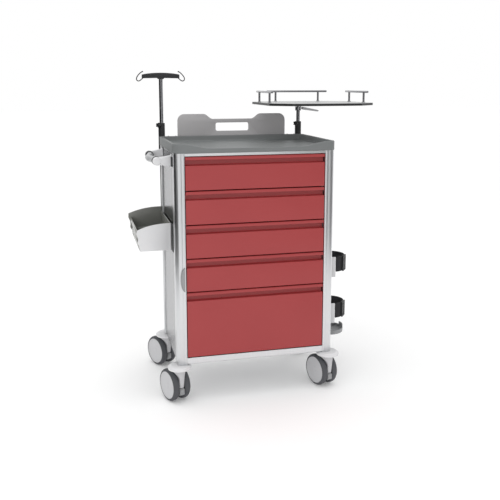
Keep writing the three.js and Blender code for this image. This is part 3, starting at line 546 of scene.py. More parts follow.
# Grained ABS: matt grey, with a leathery grain of a millimetre, drawn twice as coarse so that it shows.
grained_abs = moulded("grained_grey_abs", "#6c6f6f", "#747777", 0.5, 2 * MM, 0.25)

tray_low, tray_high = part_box("worktop_tray")
tray_x = (tray_high.x - tray_low.x) / 2
tray_y = (tray_high.y - tray_low.y) / 2
tray_corner = 28 * MM
tray_floor = tray_high.z - 22 * MM
tray_dip = 18 * MM
dip_start = tray_x - 25 * MM
dip_slope = 120 * MM


def ease(t):
    """A smooth step from 0 to 1."""
    return (1 - math.cos(math.pi * min(max(t, 0), 1))) / 2


def tray_ring(inset, level, share):
    """A ring round the tray, at a level plus a share of its rim's height over the floor."""
    ring = []
    for x, y in rounded(tray_x - inset, tray_y - inset, tray_corner - inset, across=56, along=8, steps=8):
        dip = tray_dip * ease((dip_start - abs(x)) / dip_slope) if y < 0 else 0
        rim = tray_high.z - dip - tray_floor
        ring.append((middle.x + x, middle.y + y, level + rim * share))
    return ring


# Each ring's inset in millimetres, its level and its share of the rim's height.
tray_steps = [
    (20.5, tray_floor - 4 * MM, 0), (20, tray_low.z + 0.8 * MM, 0), (19, tray_low.z, 0),
    (1.5, tray_low.z, 0), (0.4, tray_low.z + 0.4 * MM, 0), (0, tray_low.z + 1.5 * MM, 0),
    (0, tray_floor, 0.4), (0, tray_floor, 0.82), (0.5, tray_floor, 0.93), (1.4, tray_floor, 0.985),
    (2.8, tray_floor, 1), (8.6, tray_floor, 1), (10, tray_floor, 0.985), (10.8, tray_floor, 0.93),
    (11.1, tray_floor, 0.8), (11.8, tray_floor, 0.3), (12.8, tray_floor, 0.1), (14.5, tray_floor, 0.02),
    (17, tray_floor, 0),
]
mesh = skinned([tray_ring(inset * MM, level, share) for inset, level, share in tray_steps])
make_piece("tray", mesh, grained_abs, "cabinet", "tray_plastic", "worktop_tray")
caps = []
for side in (-1, 1):
    for from_corner in (40 * MM, 70 * MM):
        x = middle.x + side * (tray_x - from_corner)
        spot = (x, middle.y + tray_y - 5.5 * MM, tray_high.z - 0.4 * MM)
        caps.append(screw_head(spot, (0, 0, 1), 3.6 * MM))
make_piece("tray_screws", joined(*caps), zinc, "cabinet", "steel_sheet")

# ---------------------------------------------------------------- push plate
# A steel plate with a slot for the fingers, cut by laser, powder coated like the back panel and held off it
# by four stand-offs with cap screws.


def cut_sheet(axes, outlines, low, high, edge):
    """A sheet cut to an outline, less any holes drawn after it, with its edges rounded."""
    curve = bpy.data.curves.new("outline", "CURVE")
    curve.dimensions = "2D"
    curve.fill_mode = "BOTH"
    curve.extrude = (high - low) / 2 - edge
    curve.bevel_depth = edge
    curve.bevel_resolution = 2
    curve.offset = -edge
    for outline in outlines:
        spline = curve.splines.new("POLY")
        spline.points.add(len(outline) - 1)
        for point, (u, v) in zip(spline.points, outline):
            point.co = (u, v, 0, 1)
        spline.use_cyclic_u = True
    holder = bpy.data.objects.new("outline", curve)
    mesh = bpy.data.meshes.new_from_object(holder)
    bpy.data.objects.remove(holder)
    for vertex in mesh.vertices:
        vertex.co = place(axes, vertex.co.x, vertex.co.y, (low + high) / 2 + vertex.co.z)
    return dressed(mesh)


def moved(points, right, up):
    return [(x + right, y + up) for x, y in points]


plate_low, plate_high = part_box("push_plate")
plate_top = plate_high.z
plate_back = plate_high.y
plate_front = plate_back - 5 * MM
plate_x = (plate_high.x - plate_low.x) / 2
plate_corner = 28 * MM
plate_dip = 21 * MM
slot_x = 70.5 * MM
low_stretch = slot_x + 11.5 * MM
slope = 40 * MM
edge_right = [
    (low_stretch + slope * (1 - i / 10), plate_top - plate_dip * ease(i / 10)) for i in range(11)
]
edge_left = [(-x, z) for x, z in reversed(edge_right)]
plate = arc((plate_x - plate_corner, plate_top - plate_corner), plate_corner, 0, 90, 10)
plate += edge_right + edge_left
plate += arc((plate_corner - plate_x, plate_top - plate_corner), plate_corner, 90, 180, 10)
plate += [(-plate_x, plate_low.z), (plate_x, plate_low.z)]
slot = moved(rounded(slot_x, 17 * MM, 8 * MM), 0, plate_top - 54 * MM)
outlines = [moved(plate, middle.x, 0), moved(slot, middle.x, 0)]
mesh = cut_sheet(FRONTAL, outlines, plate_front, plate_back, 1 * MM)
make_piece("push_plate_sheet", mesh, powder, "cabinet", "grey_enamel", "push_plate")
spacers = []
heads = []
spacer_radius = 8 * MM
spacer_length = plate_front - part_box("back_panel")[1].y
spacer = [(0, 0), (spacer_radius, 0), (spacer_radius, spacer_length), (0, spacer_length)]
for side in (-1, 1):
    x = middle.x + side * (plate_x - 46 * MM)
    for z in (plate_low.z + 14 * MM, plate_low.z + 44 * MM):
        turn = Matrix.Translation((x, plate_front, z)) @ Matrix.Rotation(math.radians(90), 4, "X")
        spacers.append(turned(spacer, 24, turn, edge=0.5 * MM))
        heads.append(screw_head((x, plate_back, z), (0, 1, 0), 6 * MM))
make_piece("push_plate_spacers", joined(*spacers), zinc, "cabinet", "steel_sheet")
make_piece("push_plate_screws", joined(*heads), zinc, "cabinet", "steel_sheet")

# ---------------------------------------------------------------- bumpers and castors
# Round white bumpers plug the columns' lower ends. Under each turns a castor: a white hood, drawn light grey
# as painted shade, between two wheels with grey tyres and flat light discs, on one steel axle, and a pedal at
# the front that brakes them.

# White polyamide: bright and satin, with hardly any grain.
white_nylon = moulded("white_moulded_nylon", "#d6d6d8", "#dededf", 0.38, 3 * MM, 0.05)
# Light grey polyamide for the wheels' discs and the lever under the shelf. The white hoods are drawn in it
# too, and on them this grey is painted shade.
disc_and_shaded_hood_nylon = moulded("light_grey_nylon_and_painted_hood_shade", "#b9b9bb", "#c3c3c5", 0.42, 2.5 * MM, 0.1)
# Grey polyamide, duller and coarser, for the pedals, the bottle's cup and the lock lever.
grey_nylon = moulded("grey_moulded_nylon", "#8d8e90", "#979899", 0.5, 2 * MM, 0.2)
# Thermoplastic rubber: a dull dark grey, with the fine scuffs that rolling leaves, drawn 2 mm long.
tyre_rubber = moulded("grey_thermoplastic_rubber", "#45464a", "#505155", 0.62, 2 * MM, 0.3)

for corner in CORNERS:
    low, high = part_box(f"bumper_{corner}")
    centre = (low + high) / 2
    radius = (high.x - low.x) / 2
    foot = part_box(f"column_{corner}")[0].z - 0.3 * MM
    bottom = low.z
    profile = [(0, bottom), (radius - 6 * MM, bottom), (radius - 1.5 * MM, bottom + 1.5 * MM)]
    profile += arc((radius - 3 * MM, bottom + 7 * MM), 3 * MM, -10, 60, 5)
    profile += arc((radius - 14 * MM, foot - 12 * MM), 11.5 * MM, 40, 90, 6)
    profile += [(24 * MM, foot), (0, foot)]
    mesh = turned(profile, 64, Matrix.Translation((centre.x, centre.y, 0)), sharp=40)
    make_piece(f"bumper_{corner}_disc", mesh, white_nylon, "cabinet", "white_plastic", f"bumper_{corner}")


def between(table, z):
    """The value that a table of (z, value), from high to low, gives at a height."""
    for (z1, v1), (z2, v2) in zip(table, table[1:]):
        if z >= z2:
            return v1 + (v2 - v1) * (z1 - z) / (z1 - z2)
    return table[-1][1]


# The hood in the axle's frame, in millimetres: x along the axle, y behind it and z above it.
hood_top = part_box("castor_hood_front_left")[1].z / MM
joints = {joint["name"]: joint for joint in frame["joints"]}
axle_height = joints["wheels_front_left_spin"]["pos_m"][2] / MM
crown = hood_top - axle_height
hood_front = [
    (crown, -63), (41, -61), (12, -58), (0.2, -56), (0, -28.6), (-8, -27.4), (-16, -23.5), (-22, -18.5),
    (-30, -10),
]
hood_back = [(crown, -14), (crown - 7, -13), (44, 12), (22, 30), (-2, 32), (-20, 26), (-30, 10)]
hood_width = [(crown, 25), (crown - 7, 25), (56, 20.5), (47, 15), (38, 10.5), (-30, 9.5)]
tyre_clear = 65.5  # the radius round the axle that the hood's front keeps out of
collar = 8  # the height of the plain round top of the hood
fin_half = 9.8
front_depth = 6
QUARTER = [math.radians(90 * i / 8) for i in range(9)]


def hood_ring(z):
    """One level of the hood: a wide round front that stays ahead of the tyres, and a fin between them."""
    front, back, wide = between(hood_front, z), between(hood_back, z), between(hood_width, z)
    fin = min(wide, fin_half)
    shoulder = -math.sqrt(max(tyre_clear**2 - z**2, 0)) if z > 0 else front + front_depth
    shoulder = min(max(shoulder, front + front_depth), back - 8)
    tail = back - 6
    if z > crown - collar:
        fin, shoulder = wide, (front + back) / 2
        tail = shoulder + 1
    side = [(wide * math.sin(a), shoulder - (shoulder - front) * math.cos(a)) for a in QUARTER]
    side += [(fin, shoulder + 0.6), (fin, tail)]
    depth = back - side[-1][1]
    side += [(fin * math.cos(a), back - depth * (1 - math.sin(a))) for a in QUARTER[1:]]
    other = [(-x, y) for x, y in side[-2:0:-1]]
    return [(x * MM, y * MM, z * MM) for x, y in side + other]


hood_levels = [
    crown - 1, crown - 4, crown - collar - 0.2, 58, 52, 46, 41, 34, 25, 12, 0.2, -0.2, -8, -16, -22, -27, -30,
]
pedal_half = 9.6 * MM
for corner in CORNERS:
    spin = joints[f"wheels_{corner}_spin"]
    axle = Vector(spin["pos_m"])
    yaw = math.atan2(spin["axis"][1], spin["axis"][0])
    stand = Matrix.Translation(axle) @ Matrix.Rotation(yaw, 4, "Z")
    hood = skinned([hood_ring(z) for z in hood_levels], edge=1.2 * MM, sharp=50)
    head = turned(
        [(0, crown - 2.5), (27, crown - 2.5), (27.6, crown - 1.5), (27, crown), (0, crown)], 48, sharp=40
    )
    head.transform(Matrix.Translation((0, -38 * MM, 0)) @ Matrix.Scale(MM, 4))
    mesh = joined(hood, head)
    mesh.transform(stand)
    # The hood is white like the bumpers; its light grey is painted shade.
    make_piece(
        f"castor_hood_{corner}_shell", mesh, disc_and_shaded_hood_nylon, f"castor_{corner}", "white_plastic",
        f"castor_hood_{corner}",
    )
    tyres = []
    discs = []
    tyre_radius = axle.z / MM
    for side in (-1, 1):
        turn = stand @ Matrix.Rotation(math.radians(90 * side), 4, "Y")
        tread = [
            (44, 11.6), (54, 11.2), (57.8, 12.2), (60, 14.6), (61.4, 18), (tyre_radius, 21.5),
            (tyre_radius, 25.5), (61.4, 29), (60, 32), (57.6, 34.6), (55, 35.8), (53.2, 36),
            (52.4, 35.2), (52, 33), (44, 33),
        ]
        tyres.append(turned([(r * MM, x * MM) for r, x in tread], 96, turn, closed=True, sharp=45))
        face = [
            (0, 34.2), (9.5, 34.2), (10.5, 34), (11.2, 33.4), (45, 33.6), (47.5, 34), (48.6, 35),
            (50, 35.7), (51.6, 35.7), (52.2, 35), (52, 30), (45, 12.4), (6, 12), (6, 11), (0, 11),
        ]
        discs.append(turned([(r * MM, x * MM) for r, x in face], 96, turn, sharp=40))
    body = f"wheels_{corner}"
    make_piece(f"{body}_tyres", joined(*tyres), tyre_rubber, body, "tyre_rubber", f"wheel_pair_{corner}")
    make_piece(f"{body}_discs", joined(*discs), disc_and_shaded_hood_nylon, body, "grey_plastic")
    turn = stand @ Matrix.Rotation(math.radians(90), 4, "Y")
    rod = [(0, -11), (4.9, -11), (4.9, 11), (0, 11)]
    shaft = turned([(r * MM, x * MM) for r, x in rod], 24, turn)
    make_piece(f"{body}_axle", shaft, zinc, body, "steel_sheet")
    pad = [(-58, -7), (-51, -3), (-35, -2)] + arc((0, 0), 29.6, 184, 216, 6)
    pad += [(-36, -27), (-51, -32), (-58, -27)]
    pad = [(y * MM, z * MM) for y, z in pad]
    pedal = prism(SIDEWAYS, pad, -pedal_half, pedal_half, edge=1.8 * MM, segments=3)
    ribs = []
    for step in (0.2, 0.5, 0.8):
        y, z = -58 + 7 * step, -8 + 5 * step
        rib_low = (-7 * MM, (y - 0.9) * MM, (z - 1) * MM)
        rib_high = (7 * MM, (y + 0.9) * MM, (z + 1.1) * MM)
        ribs.append(block(rib_low, rib_high, 0.4 * MM))
    mesh = joined(pedal, *ribs)
    mesh.transform(stand)
    make_piece(
        f"pedal_{corner}_pad", mesh, grey_nylon, f"pedal_{corner}", "grey_plastic", f"brake_pedal_{corner}"
    )

# ---------------------------------------------------------------- poles and their clamps
# Two chromed steel tubes stand behind the rear columns. Each runs in a black glass-filled nylon clamp that
# is screwed to the cart's back, and a lobed knob pinches it at its height.

# Glass-filled nylon: nearly black and matt, slightly rough from the fibres.
black_nylon = moulded("black_glass_filled_nylon", "#1d1e20", "#27282a", 0.5, 1.5 * MM, 0.25)

# Satin chrome: bright metal brushed round the tube before plating, which draws the highlights out along it.
chrome = new_material("satin_chrome")
place_in = add_node(chrome, "ShaderNodeTexCoord")
brushing = add_node(
    chrome, "ShaderNodeMapping",
    inputs={"Vector": place_in.outputs["Object"], "Scale": (1 / (30 * MM), 1 / (30 * MM), 1 / (1.5 * MM))},
)
brushed = add_node(
    chrome, "ShaderNodeTexNoise", inputs={"Vector": brushing.outputs[0], "Scale": 1, "Detail": 2}
)
give_finish(
    chrome, brushed.outputs[0], ("#8f8f92", "#9d9da0"), brushed.outputs[0], (0.16, 0.26), Metallic=1
)


def swept(points, radius, sides=4, order=4, closed=False):
    """A round bar or wire along a smooth line through given points, with round ends."""
    curve = bpy.data.curves.new("route", "CURVE")
    curve.dimensions = "3D"
    curve.bevel_depth = radius
    curve.bevel_resolution = sides
    curve.use_fill_caps = True
    curve.resolution_u = 10
    spline = curve.splines.new("NURBS")
    spline.points.add(len(points) - 1)
    for point, spot in zip(spline.points, points):
        point.co = (*spot, 1)
    spline.order_u = order
    spline.use_endpoint_u = not closed
    spline.use_cyclic_u = closed
    holder = bpy.data.objects.new("route", curve)
    mesh = bpy.data.meshes.new_from_object(holder)
    bpy.data.objects.remove(holder)
    return dressed(mesh, sharp=50)


def ball(at, radius):
    return turned(arc((0, 0), radius, -90, 90, 12), 24, Matrix.Translation(at), sharp=60)


pole_radius = 8 * MM
pole_inside = 6.5 * MM
sleeve_radius = 13.5 * MM
knob_seat = sleeve_radius + 0.4 * MM
collar_top = sleeve_radius + 4 * MM
poles = {"infusion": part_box("infusion_pole"), "shelf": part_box("shelf_pole")}
guide_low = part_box("infusion_clamp")[0].z
sleeve_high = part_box("infusion_clamp")[1].z
sleeve_low = sleeve_high - 146 * MM
spine_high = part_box("column_rear_left")[1].z - 4 * MM
spine_near = back_side + 0.3 * MM
pole_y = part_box("infusion_clamp")[1].y - sleeve_radius
lobes = []
for i in range(60):
    angle = 2 * math.pi * i / 60
    reach = (9 + 1.6 * math.cos(5 * angle)) * MM
    lobes.append((reach * math.cos(angle), reach * math.sin(angle)))
for name, side in (("infusion", -1), ("shelf", 1)):
    clamp_low, clamp_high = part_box(f"{name}_clamp")
    x = (clamp_low.x + clamp_high.x) / 2
    there = Matrix.Translation((x, pole_y, 0))
    bore = pole_radius + 0.4 * MM
    sleeve = [
        (bore, sleeve_low), (sleeve_radius, sleeve_low), (sleeve_radius, sleeve_high - 3 * MM),
        (sleeve_radius - 1.2 * MM, sleeve_high), (bore, sleeve_high),
    ]
    ring = [
        (bore, guide_low), (13 * MM, guide_low), (13 * MM, guide_low + 24 * MM), (bore, guide_low + 24 * MM),
    ]
    parts = [
        turned(sleeve, 48, there, closed=True, edge=0.7 * MM),
        turned(ring, 48, there, closed=True, edge=0.7 * MM),
        block((x - 12 * MM, spine_near, guide_low), (x + 12 * MM, spine_near + 5 * MM, spine_high), 1.5 * MM),
        block(
            (x - 6 * MM, spine_near + 4 * MM, sleeve_low + 4 * MM),
            (x + 6 * MM, pole_y - sleeve_radius + 3 * MM, spine_high), 1 * MM,
        ),
        block(
            (x - 6 * MM, spine_near + 4 * MM, guide_low + 2 * MM),
            (x + 6 * MM, pole_y - pole_radius - 1 * MM, guide_low + 22 * MM), 1 * MM,
        ),
    ]
    make_piece(f"{name}_clamp_body", joined(*parts), black_nylon, "cabinet", "black_plastic", f"{name}_clamp")
    heads = []
    for z in (guide_low + 60 * MM, guide_low + 120 * MM):
        heads.append(screw_head((x, spine_near + 5 * MM, z), (0, 1, 0)))
    make_piece(f"{name}_clamp_screws", joined(*heads), zinc, "cabinet", "steel_sheet")
    knob_z = joints[f"{name}_knob_turn"]["pos_m"][2]
    aim = Vector((-1, -1, 0)).to_track_quat("Z", "Y").to_matrix().to_4x4()
    grip = cut_sheet(PLAN, [lobes], sleeve_radius + 3.3 * MM, sleeve_radius + 13.3 * MM, 1.8 * MM)
    neck = turned([(0, knob_seat), (5 * MM, knob_seat), (6 * MM, collar_top), (0, collar_top)], 24)
    mesh = joined(grip, neck)
    mesh.transform(Matrix.Translation((x, pole_y, knob_z)) @ aim)
    make_piece(f"{name}_knob_grip", mesh, black_nylon, f"{name}_knob", "black_plastic", f"{name}_clamp_knob")

low, high = poles["infusion"]
infusion_x = (low.x + high.x) / 2
tube = [(pole_inside, low.z), (pole_radius, low.z), (pole_radius, high.z), (pole_inside, high.z)]
mesh = turned(tube, 48, Matrix.Translation((infusion_x, pole_y, 0)), closed=True, edge=0.4 * MM)
make_piece("infusion_pole_tube", mesh, chrome, "infusion_pole", "chrome", "infusion_pole")

# ---------------------------------------------------------------- infusion head
# A moulded black crossbar on top of the infusion pole. A hook of bent coated wire is set in each end, and its
# tip is turned back so that a bag can't slip off.
bar_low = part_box("infusion_pole")[1].z + 0.3 * MM
bar_end = 76


def up_bar(points):
    return [(infusion_x + x * MM, bar_low + z * MM) for x, z in points]


# The crossbar from the front, in millimetres round the pole: its underside, then the arch over its top.
bar = [(-bar_end, 4.5), (-74, 3), (-15, 4.2), (-12, 2.5), (-11, 0)]
bar += [(-x, z) for x, z in reversed(bar)]
for i in range(17):
    across = 1 - i / 8
    bar.append((bar_end * across, 18 + 7.44 * (1 - across**2) ** 0.8))
bar_mesh = cut_sheet(FRONTAL, [up_bar(bar)], pole_y - 11 * MM, pole_y + 11 * MM, 2.2 * MM)
make_piece("infusion_head_bar", bar_mesh, black_nylon, "infusion_head", "black_plastic", "infusion_hook_bar")
hooks = []
for side in (-1, 1):
    bend = [(66, 9), (74, 3), (82, -5), (90, -9), (98, -5), (98.5, 5), (91, 16), (84, 23), (77, 29), (73, 30)]
    route = [(infusion_x + side * x * MM, pole_y, bar_low + z * MM) for x, z in bend]
    hooks += [swept(route, 2 * MM), ball(route[-1], 2.7 * MM)]
make_piece("infusion_head_hooks", joined(*hooks), black_nylon, "infusion_head", "black_plastic")

# ---------------------------------------------------------------- monitor shelf
# A board of black compact laminate, faced in pale grey, turns on a flange on the second pole. Three chromed
# rails stand round it on posts, and a lever under it frees its turning.
low, high = poles["shelf"]
shelf_x = (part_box("shelf_clamp")[0].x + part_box("shelf_clamp")[1].x) / 2
tube_top = high.z - 4 * MM
tube = [(pole_inside, low.z), (pole_radius, low.z), (pole_radius, tube_top), (pole_inside, tube_top)]
there = Matrix.Translation((shelf_x, pole_y, 0))
flange = [
    (pole_radius, high.z - 26 * MM), (12 * MM, high.z - 26 * MM), (13 * MM, high.z - 25 * MM),
    (13 * MM, high.z - 11 * MM), (15 * MM, high.z - 8 * MM), (33 * MM, high.z - 5 * MM),
    (35 * MM, high.z - 4 * MM), (35 * MM, high.z), (pole_radius, high.z),
]
mesh = joined(
    turned(tube, 48, there, closed=True, edge=0.4 * MM), turned(flange, 64, there, closed=True, edge=0.5 * MM)
)
make_piece("shelf_pole_tube", mesh, chrome, "shelf_pole", "chrome", "shelf_pole")

low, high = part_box("shelf_lever")
pivot_radius = 6 * MM
tip_radius = 3.5 * MM
blade = arc((low.x + pivot_radius, high.z - pivot_radius), pivot_radius, 90, 270, 10)
blade += arc((high.x - tip_radius, low.z + tip_radius), tip_radius, 270, 450, 8)
mesh = cut_sheet(FRONTAL, [blade], low.y, high.y, 1.6 * MM)
make_piece("shelf_lever_blade", mesh, disc_and_shaded_hood_nylon, "shelf_lever", "grey_plastic", "shelf_lever")

board_low, board_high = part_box("shelf_board")
board_centre = (board_low + board_high) / 2
board_x = (board_high.x - board_low.x) / 2
board_y = (board_high.y - board_low.y) / 2
board_cut = 75 * MM
board_bow = 5 * MM


def board_outline(inset):
    """Cut corners between straight sides and a bowed front and back."""
    x, y, c = board_x - inset, board_y - inset, board_cut - inset / 2
    front_bow = [
        ((x - c) * (2 * i / 12 - 1), -y + 2 * board_bow * (2 * i / 12 - 1) ** 2) for i in range(13)
    ]
    back_bow = [(-u, -v) for u, v in front_bow]
    right_edge = [(x, c - y), (x, y - c)]
    left_edge = [(-x, y - c), (-x, c - y)]
    return moved(front_bow + right_edge + back_bow + left_edge, board_centre.x, board_centre.y)


# Compact laminate: hard black paper core, cut and buffed to a satin edge, with pressed layers just visible.
core = new_material("black_compact_laminate")
place_in = add_node(core, "ShaderNodeTexCoord")
layers = add_node(
    core, "ShaderNodeMapping",
    inputs={"Vector": place_in.outputs["Object"], "Scale": (1 / (40 * MM), 1 / (40 * MM), 1 / (1.2 * MM))},
)
pressed_paper = add_node(
    core, "ShaderNodeTexNoise", inputs={"Vector": layers.outputs[0], "Scale": 1, "Detail": 2}
)
paper = pressed_paper.outputs[0]
give_finish(core, paper, ("#1a1a1b", "#2b2b2c"), paper, (0.4, 0.5), IOR=1.5)

# Melamine facing: pale grey and satin, with a fine dimple of 1.5 mm.
facing = moulded("white_melamine_facing", "#a4a5a5", "#acadad", 0.35, 1.5 * MM, 0.08)

mesh = cut_sheet(PLAN, [board_outline(0)], board_low.z + 0.4 * MM, board_high.z - 0.4 * MM, 0.8 * MM)
make_piece("shelf_board_core", mesh, core, "shelf", "laminate", "shelf_board")
faces = [
    cut_sheet(PLAN, [board_outline(1.2 * MM)], low_face, low_face + 0.8 * MM, 0.2 * MM)
    for low_face in (board_low.z, board_high.z - 0.8 * MM)
]
make_piece("shelf_board_facings", joined(*faces), facing, "shelf", "laminate")

rail_radius = 4.5 * MM
foot_radius = 8 * MM
for name, turn, posts in (("left", 90, 160), ("right", 90, 160), ("back", 0, 200)):
    low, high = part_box(f"shelf_rail_{name}")
    centre = (low + high) / 2
    half = max(high.x - low.x, high.y - low.y) / 2
    bar_z = high.z - rail_radius
    end = [(rail_radius * math.cos(a), half - rail_radius * 0.6 * (1 - math.sin(a))) for a in QUARTER]
    profile = [(r, -x) for r, x in reversed(end)] + end
    lying = Matrix.Translation((0, 0, bar_z)) @ Matrix.Rotation(math.radians(90), 4, "Y")
    parts = [turned(profile, 32, lying)]
    for side in (-0.5, 0.5):
        there = Matrix.Translation((side * posts * MM, 0, 0))
        post = [
            (rail_radius, board_high.z - 6 * MM), (rail_radius, board_high.z),
            (foot_radius, board_high.z), (foot_radius, board_high.z + 1.4 * MM),
            (foot_radius - 0.8 * MM, board_high.z + 2.2 * MM), (rail_radius, board_high.z + 3 * MM),
            (rail_radius, bar_z),
        ]
        parts.append(turned(post, 32, there))
    mesh = joined(*parts)
    mesh.transform(Matrix.Translation((centre.x, centre.y, 0)) @ Matrix.Rotation(math.radians(turn), 4, "Z"))
    make_piece(f"shelf_rail_{name}_tube", mesh, chrome, "shelf", "chrome", f"shelf_rail_{name}")

# ---------------------------------------------------------------- side handle
# Two white moulded brackets on the left side hold a thick bowed grey tube between dark rings. A black block
# fills the dark strip between the front one and the column.
for place_name in ("front", "rear"):
    low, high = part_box(f"handle_bracket_{place_name}")
    wall = high.x
    y = (low.y + high.y) / 2
    z = (low.z + high.z) / 2
    joint_x = low.x + 15 * MM
    under = [(wall, -23), (wall - 9 * MM, -21), (joint_x + 6 * MM, -13), (joint_x, -12)]
    arm = [(x, z + rise * MM) for x, rise in under]
    arm += [(x, z - rise * MM) for x, rise in reversed(under)]
    knuckle = [(0, -11), (13.6, -11), (15, -9), (15, 9), (13.6, 11), (0, 11)]
    along_y = Matrix.Translation((joint_x, y, z)) @ Matrix.Rotation(math.radians(90), 4, "X")
    mesh = joined(
        prism(FRONTAL, arm, y - 9 * MM, y + 9 * MM, edge=3 * MM, segments=3),
        block((wall - 6 * MM, y - 10 * MM, z - 26 * MM), (wall, y + 10 * MM, z + 26 * MM), 2.5 * MM, 3),
        turned([(r * MM, h * MM) for r, h in knuckle], 48, along_y),
    )
    bracket = f"handle_bracket_{place_name}"
    make_piece(f"{bracket}_arm", mesh, white_nylon, "cabinet", "white_plastic", bracket)

low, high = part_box("handle_tube")
tube_radius = 12.5 * MM
tube_z = (low.z + high.z) / 2
bow = high.x - tube_radius - (low.x + tube_radius)
route = []
for i in range(25):
    share = min(max((i / 24 * 12 - 1) / 10, 0), 1)
    x = high.x - tube_radius - bow * math.sin(math.pi * share) ** 2
    route.append((x, low.y + (high.y - low.y) * i / 24, tube_z))
# Grey nylon, a shade darker than the wheels' discs and smoother from handling.
tube_nylon = moulded("grey_nylon_grip", "#a2a3a5", "#acadae", 0.35, 2.5 * MM, 0.1)
mesh = swept(route, tube_radius, sides=8)
make_piece("handle_tube_grip", mesh, tube_nylon, "cabinet", "grey_plastic", "handle_tube")
rings = []
ring = [(12.6, -0.2), (15.2, 0), (16.2, 3), (15.8, 15), (12.6, 17)]
for y, way in ((low.y, 1), (high.y, -1)):
    aim = Matrix.Rotation(math.radians(-90 * way), 4, "X")
    aim = Matrix.Translation((high.x - tube_radius, y, tube_z)) @ aim
    rings.append(turned([(r * MM, h * MM) for r, h in ring], 48, aim, closed=True))
make_piece("handle_rings", joined(*rings), black_nylon, "cabinet", "black_plastic")
panel_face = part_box("side_panel_left")[0].x
bracket_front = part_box("handle_bracket_front")[0].y
# A black block fills the dark strip between the front bracket and the column.
mesh = block(
    (panel_face - 8 * MM, bracket_front - 26 * MM, tube_z - 18 * MM),
    (panel_face - 0.2 * MM, bracket_front - 0.5 * MM, tube_z + 17 * MM), 1.2 * MM,
)
make_piece("handle_dark_strip_block", mesh, black_nylon, "cabinet", "black_plastic")

# ---------------------------------------------------------------- side bin
# A bin for gloves and tubing hangs on the left side: a channel bent from smoked acrylic with two round ribs,
# a white moulded cheek at its front and a taller smoked one at its back, and one divider.

# Smoked acrylic: a grey-green plastic, glossy and a little cloudy from handling. Its polished cut edges along
# the two lips are drawn as lighter strips, which are a painted highlight.
acrylic = moulded("smoked_acrylic", "#73746f", "#82837e", 0.2, 40 * MM, 0.03)
acrylic_edge = moulded("acrylic_edge_painted_highlight", "#9a9b97", "#a6a7a3", 0.3, 20 * MM, 0.03)

liner_low, liner_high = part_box("bin_liner")
front_cheek_low, front_cheek_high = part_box("bin_cheek_front")
rear_cheek_low, rear_cheek_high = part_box("bin_cheek_rear")
bin_wall = liner_high.x
bin_floor = liner_low.z
bin_reach = 128 * MM
bin_wall_height = 104 * MM
bin_lip = 80 * MM


def bin_side(share):
    """Where the bin's outer wall is at a share of its height. It leans out, with two round ribs."""
    ribs = 4 * math.exp(-(((share - 0.42) / 0.1) ** 2)) + 3 * math.exp(-(((share - 0.85) / 0.1) ** 2))
    return bin_wall - bin_reach + (10 * (1 - share) - ribs) * MM


def cheek_outline(rise, proud, inset=0):
    top = bin_floor + bin_wall_height + rise - inset
    lip = bin_lip + rise - inset
    tip = bin_side(1) - proud + inset
    shape = [(bin_wall - inset, bin_floor + inset), (bin_wall - inset, top)]
    bend_x, bend_z = bin_wall - bin_reach * 0.6, top + 1 * MM
    for i in range(1, 17):
        t = i / 16
        shape.append((
            (1 - t) ** 2 * (bin_wall - inset) + 2 * t * (1 - t) * bend_x + t * t * tip,
            (1 - t) ** 2 * top + 2 * t * (1 - t) * bend_z + t * t * (bin_floor + lip),
        ))
    for i in range(1, 25):
        share = 1 - i / 24
        z = bin_floor + max(lip * share, inset)
        shape.append((bin_side(share) - proud * share + inset, z))
    return shape


def raised_border(outline, y, radius):
    """A bead along an outline's free edges."""
    return swept([(x, y, z) for x, z in outline], radius, sides=2, order=2)


front = cheek_outline(0, 0)
y = front_cheek_low.y
mesh = joined(
    cut_sheet(FRONTAL, [front], y, front_cheek_high.y, 0.8 * MM),
    raised_border(cheek_outline(0, 0, 1.5 * MM)[1:-1], y + 1.2 * MM, 1.4 * MM),
    block(
        (bin_wall - 9 * MM, y - 0.6 * MM, bin_floor + 1 * MM),
        (bin_wall, y + 3 * MM, bin_floor + bin_wall_height - 1 * MM), 0.8 * MM,
    ),
)
make_piece("bin_front_cheek", mesh, white_nylon, "cabinet", "white_plastic", "bin_cheek_front")
rear = cheek_outline(18 * MM, 8 * MM)
y = rear_cheek_low.y
mesh = joined(
    cut_sheet(FRONTAL, [rear], y, rear_cheek_high.y, 0.8 * MM),
    raised_border(cheek_outline(18 * MM, 8 * MM, 1.5 * MM)[1:-1], y + 2 * MM, 1.9 * MM),
)
make_piece("bin_rear_cheek", mesh, acrylic, "cabinet", "smoked_plastic", "bin_cheek_rear")

skin = 3 * MM
outer = [(bin_side(i / 32), bin_floor + bin_lip * i / 32) for i in range(33)]
inner = [(x + skin, z) for x, z in outer if z - bin_floor > 5 * MM]
channel = [(bin_wall, bin_floor), (bin_wall, bin_floor + bin_wall_height)]
channel += [(bin_wall - skin, bin_floor + bin_wall_height)]
channel += arc((bin_wall - skin - 6 * MM, bin_floor + skin + 6 * MM), 6 * MM, 360, 270, 6)
channel += [(bin_side(0) + skin + 6 * MM, bin_floor + skin)] + inner + outer[::-1]
mesh = prism(FRONTAL, channel, liner_low.y, liner_high.y, edge=0.4 * MM, sharp=50)
divider_y = (liner_low.y + liner_high.y) / 2
divider = [
    (bin_wall - 1 * MM, bin_floor + 1 * MM), (bin_wall - 1 * MM, bin_floor + bin_lip - 6 * MM),
    (bin_side(0) + skin + 4 * MM, bin_floor + bin_lip - 14 * MM), (bin_side(0) + 1 * MM, bin_floor + 1 * MM),
]
wall_mesh = cut_sheet(FRONTAL, [divider], divider_y - 1.5 * MM, divider_y + 1.5 * MM, 0.6 * MM)
make_piece("bin_channel", joined(mesh, wall_mesh), acrylic, "cabinet", "smoked_plastic", "bin_liner")
# Lighter strips along the outer and inner lips: a painted highlight on the cut edges.
trims = []
outer_edge = (bin_side(1) + skin / 2, bin_floor + bin_lip)
inner_edge = (bin_wall - skin / 2, bin_floor + bin_wall_height)
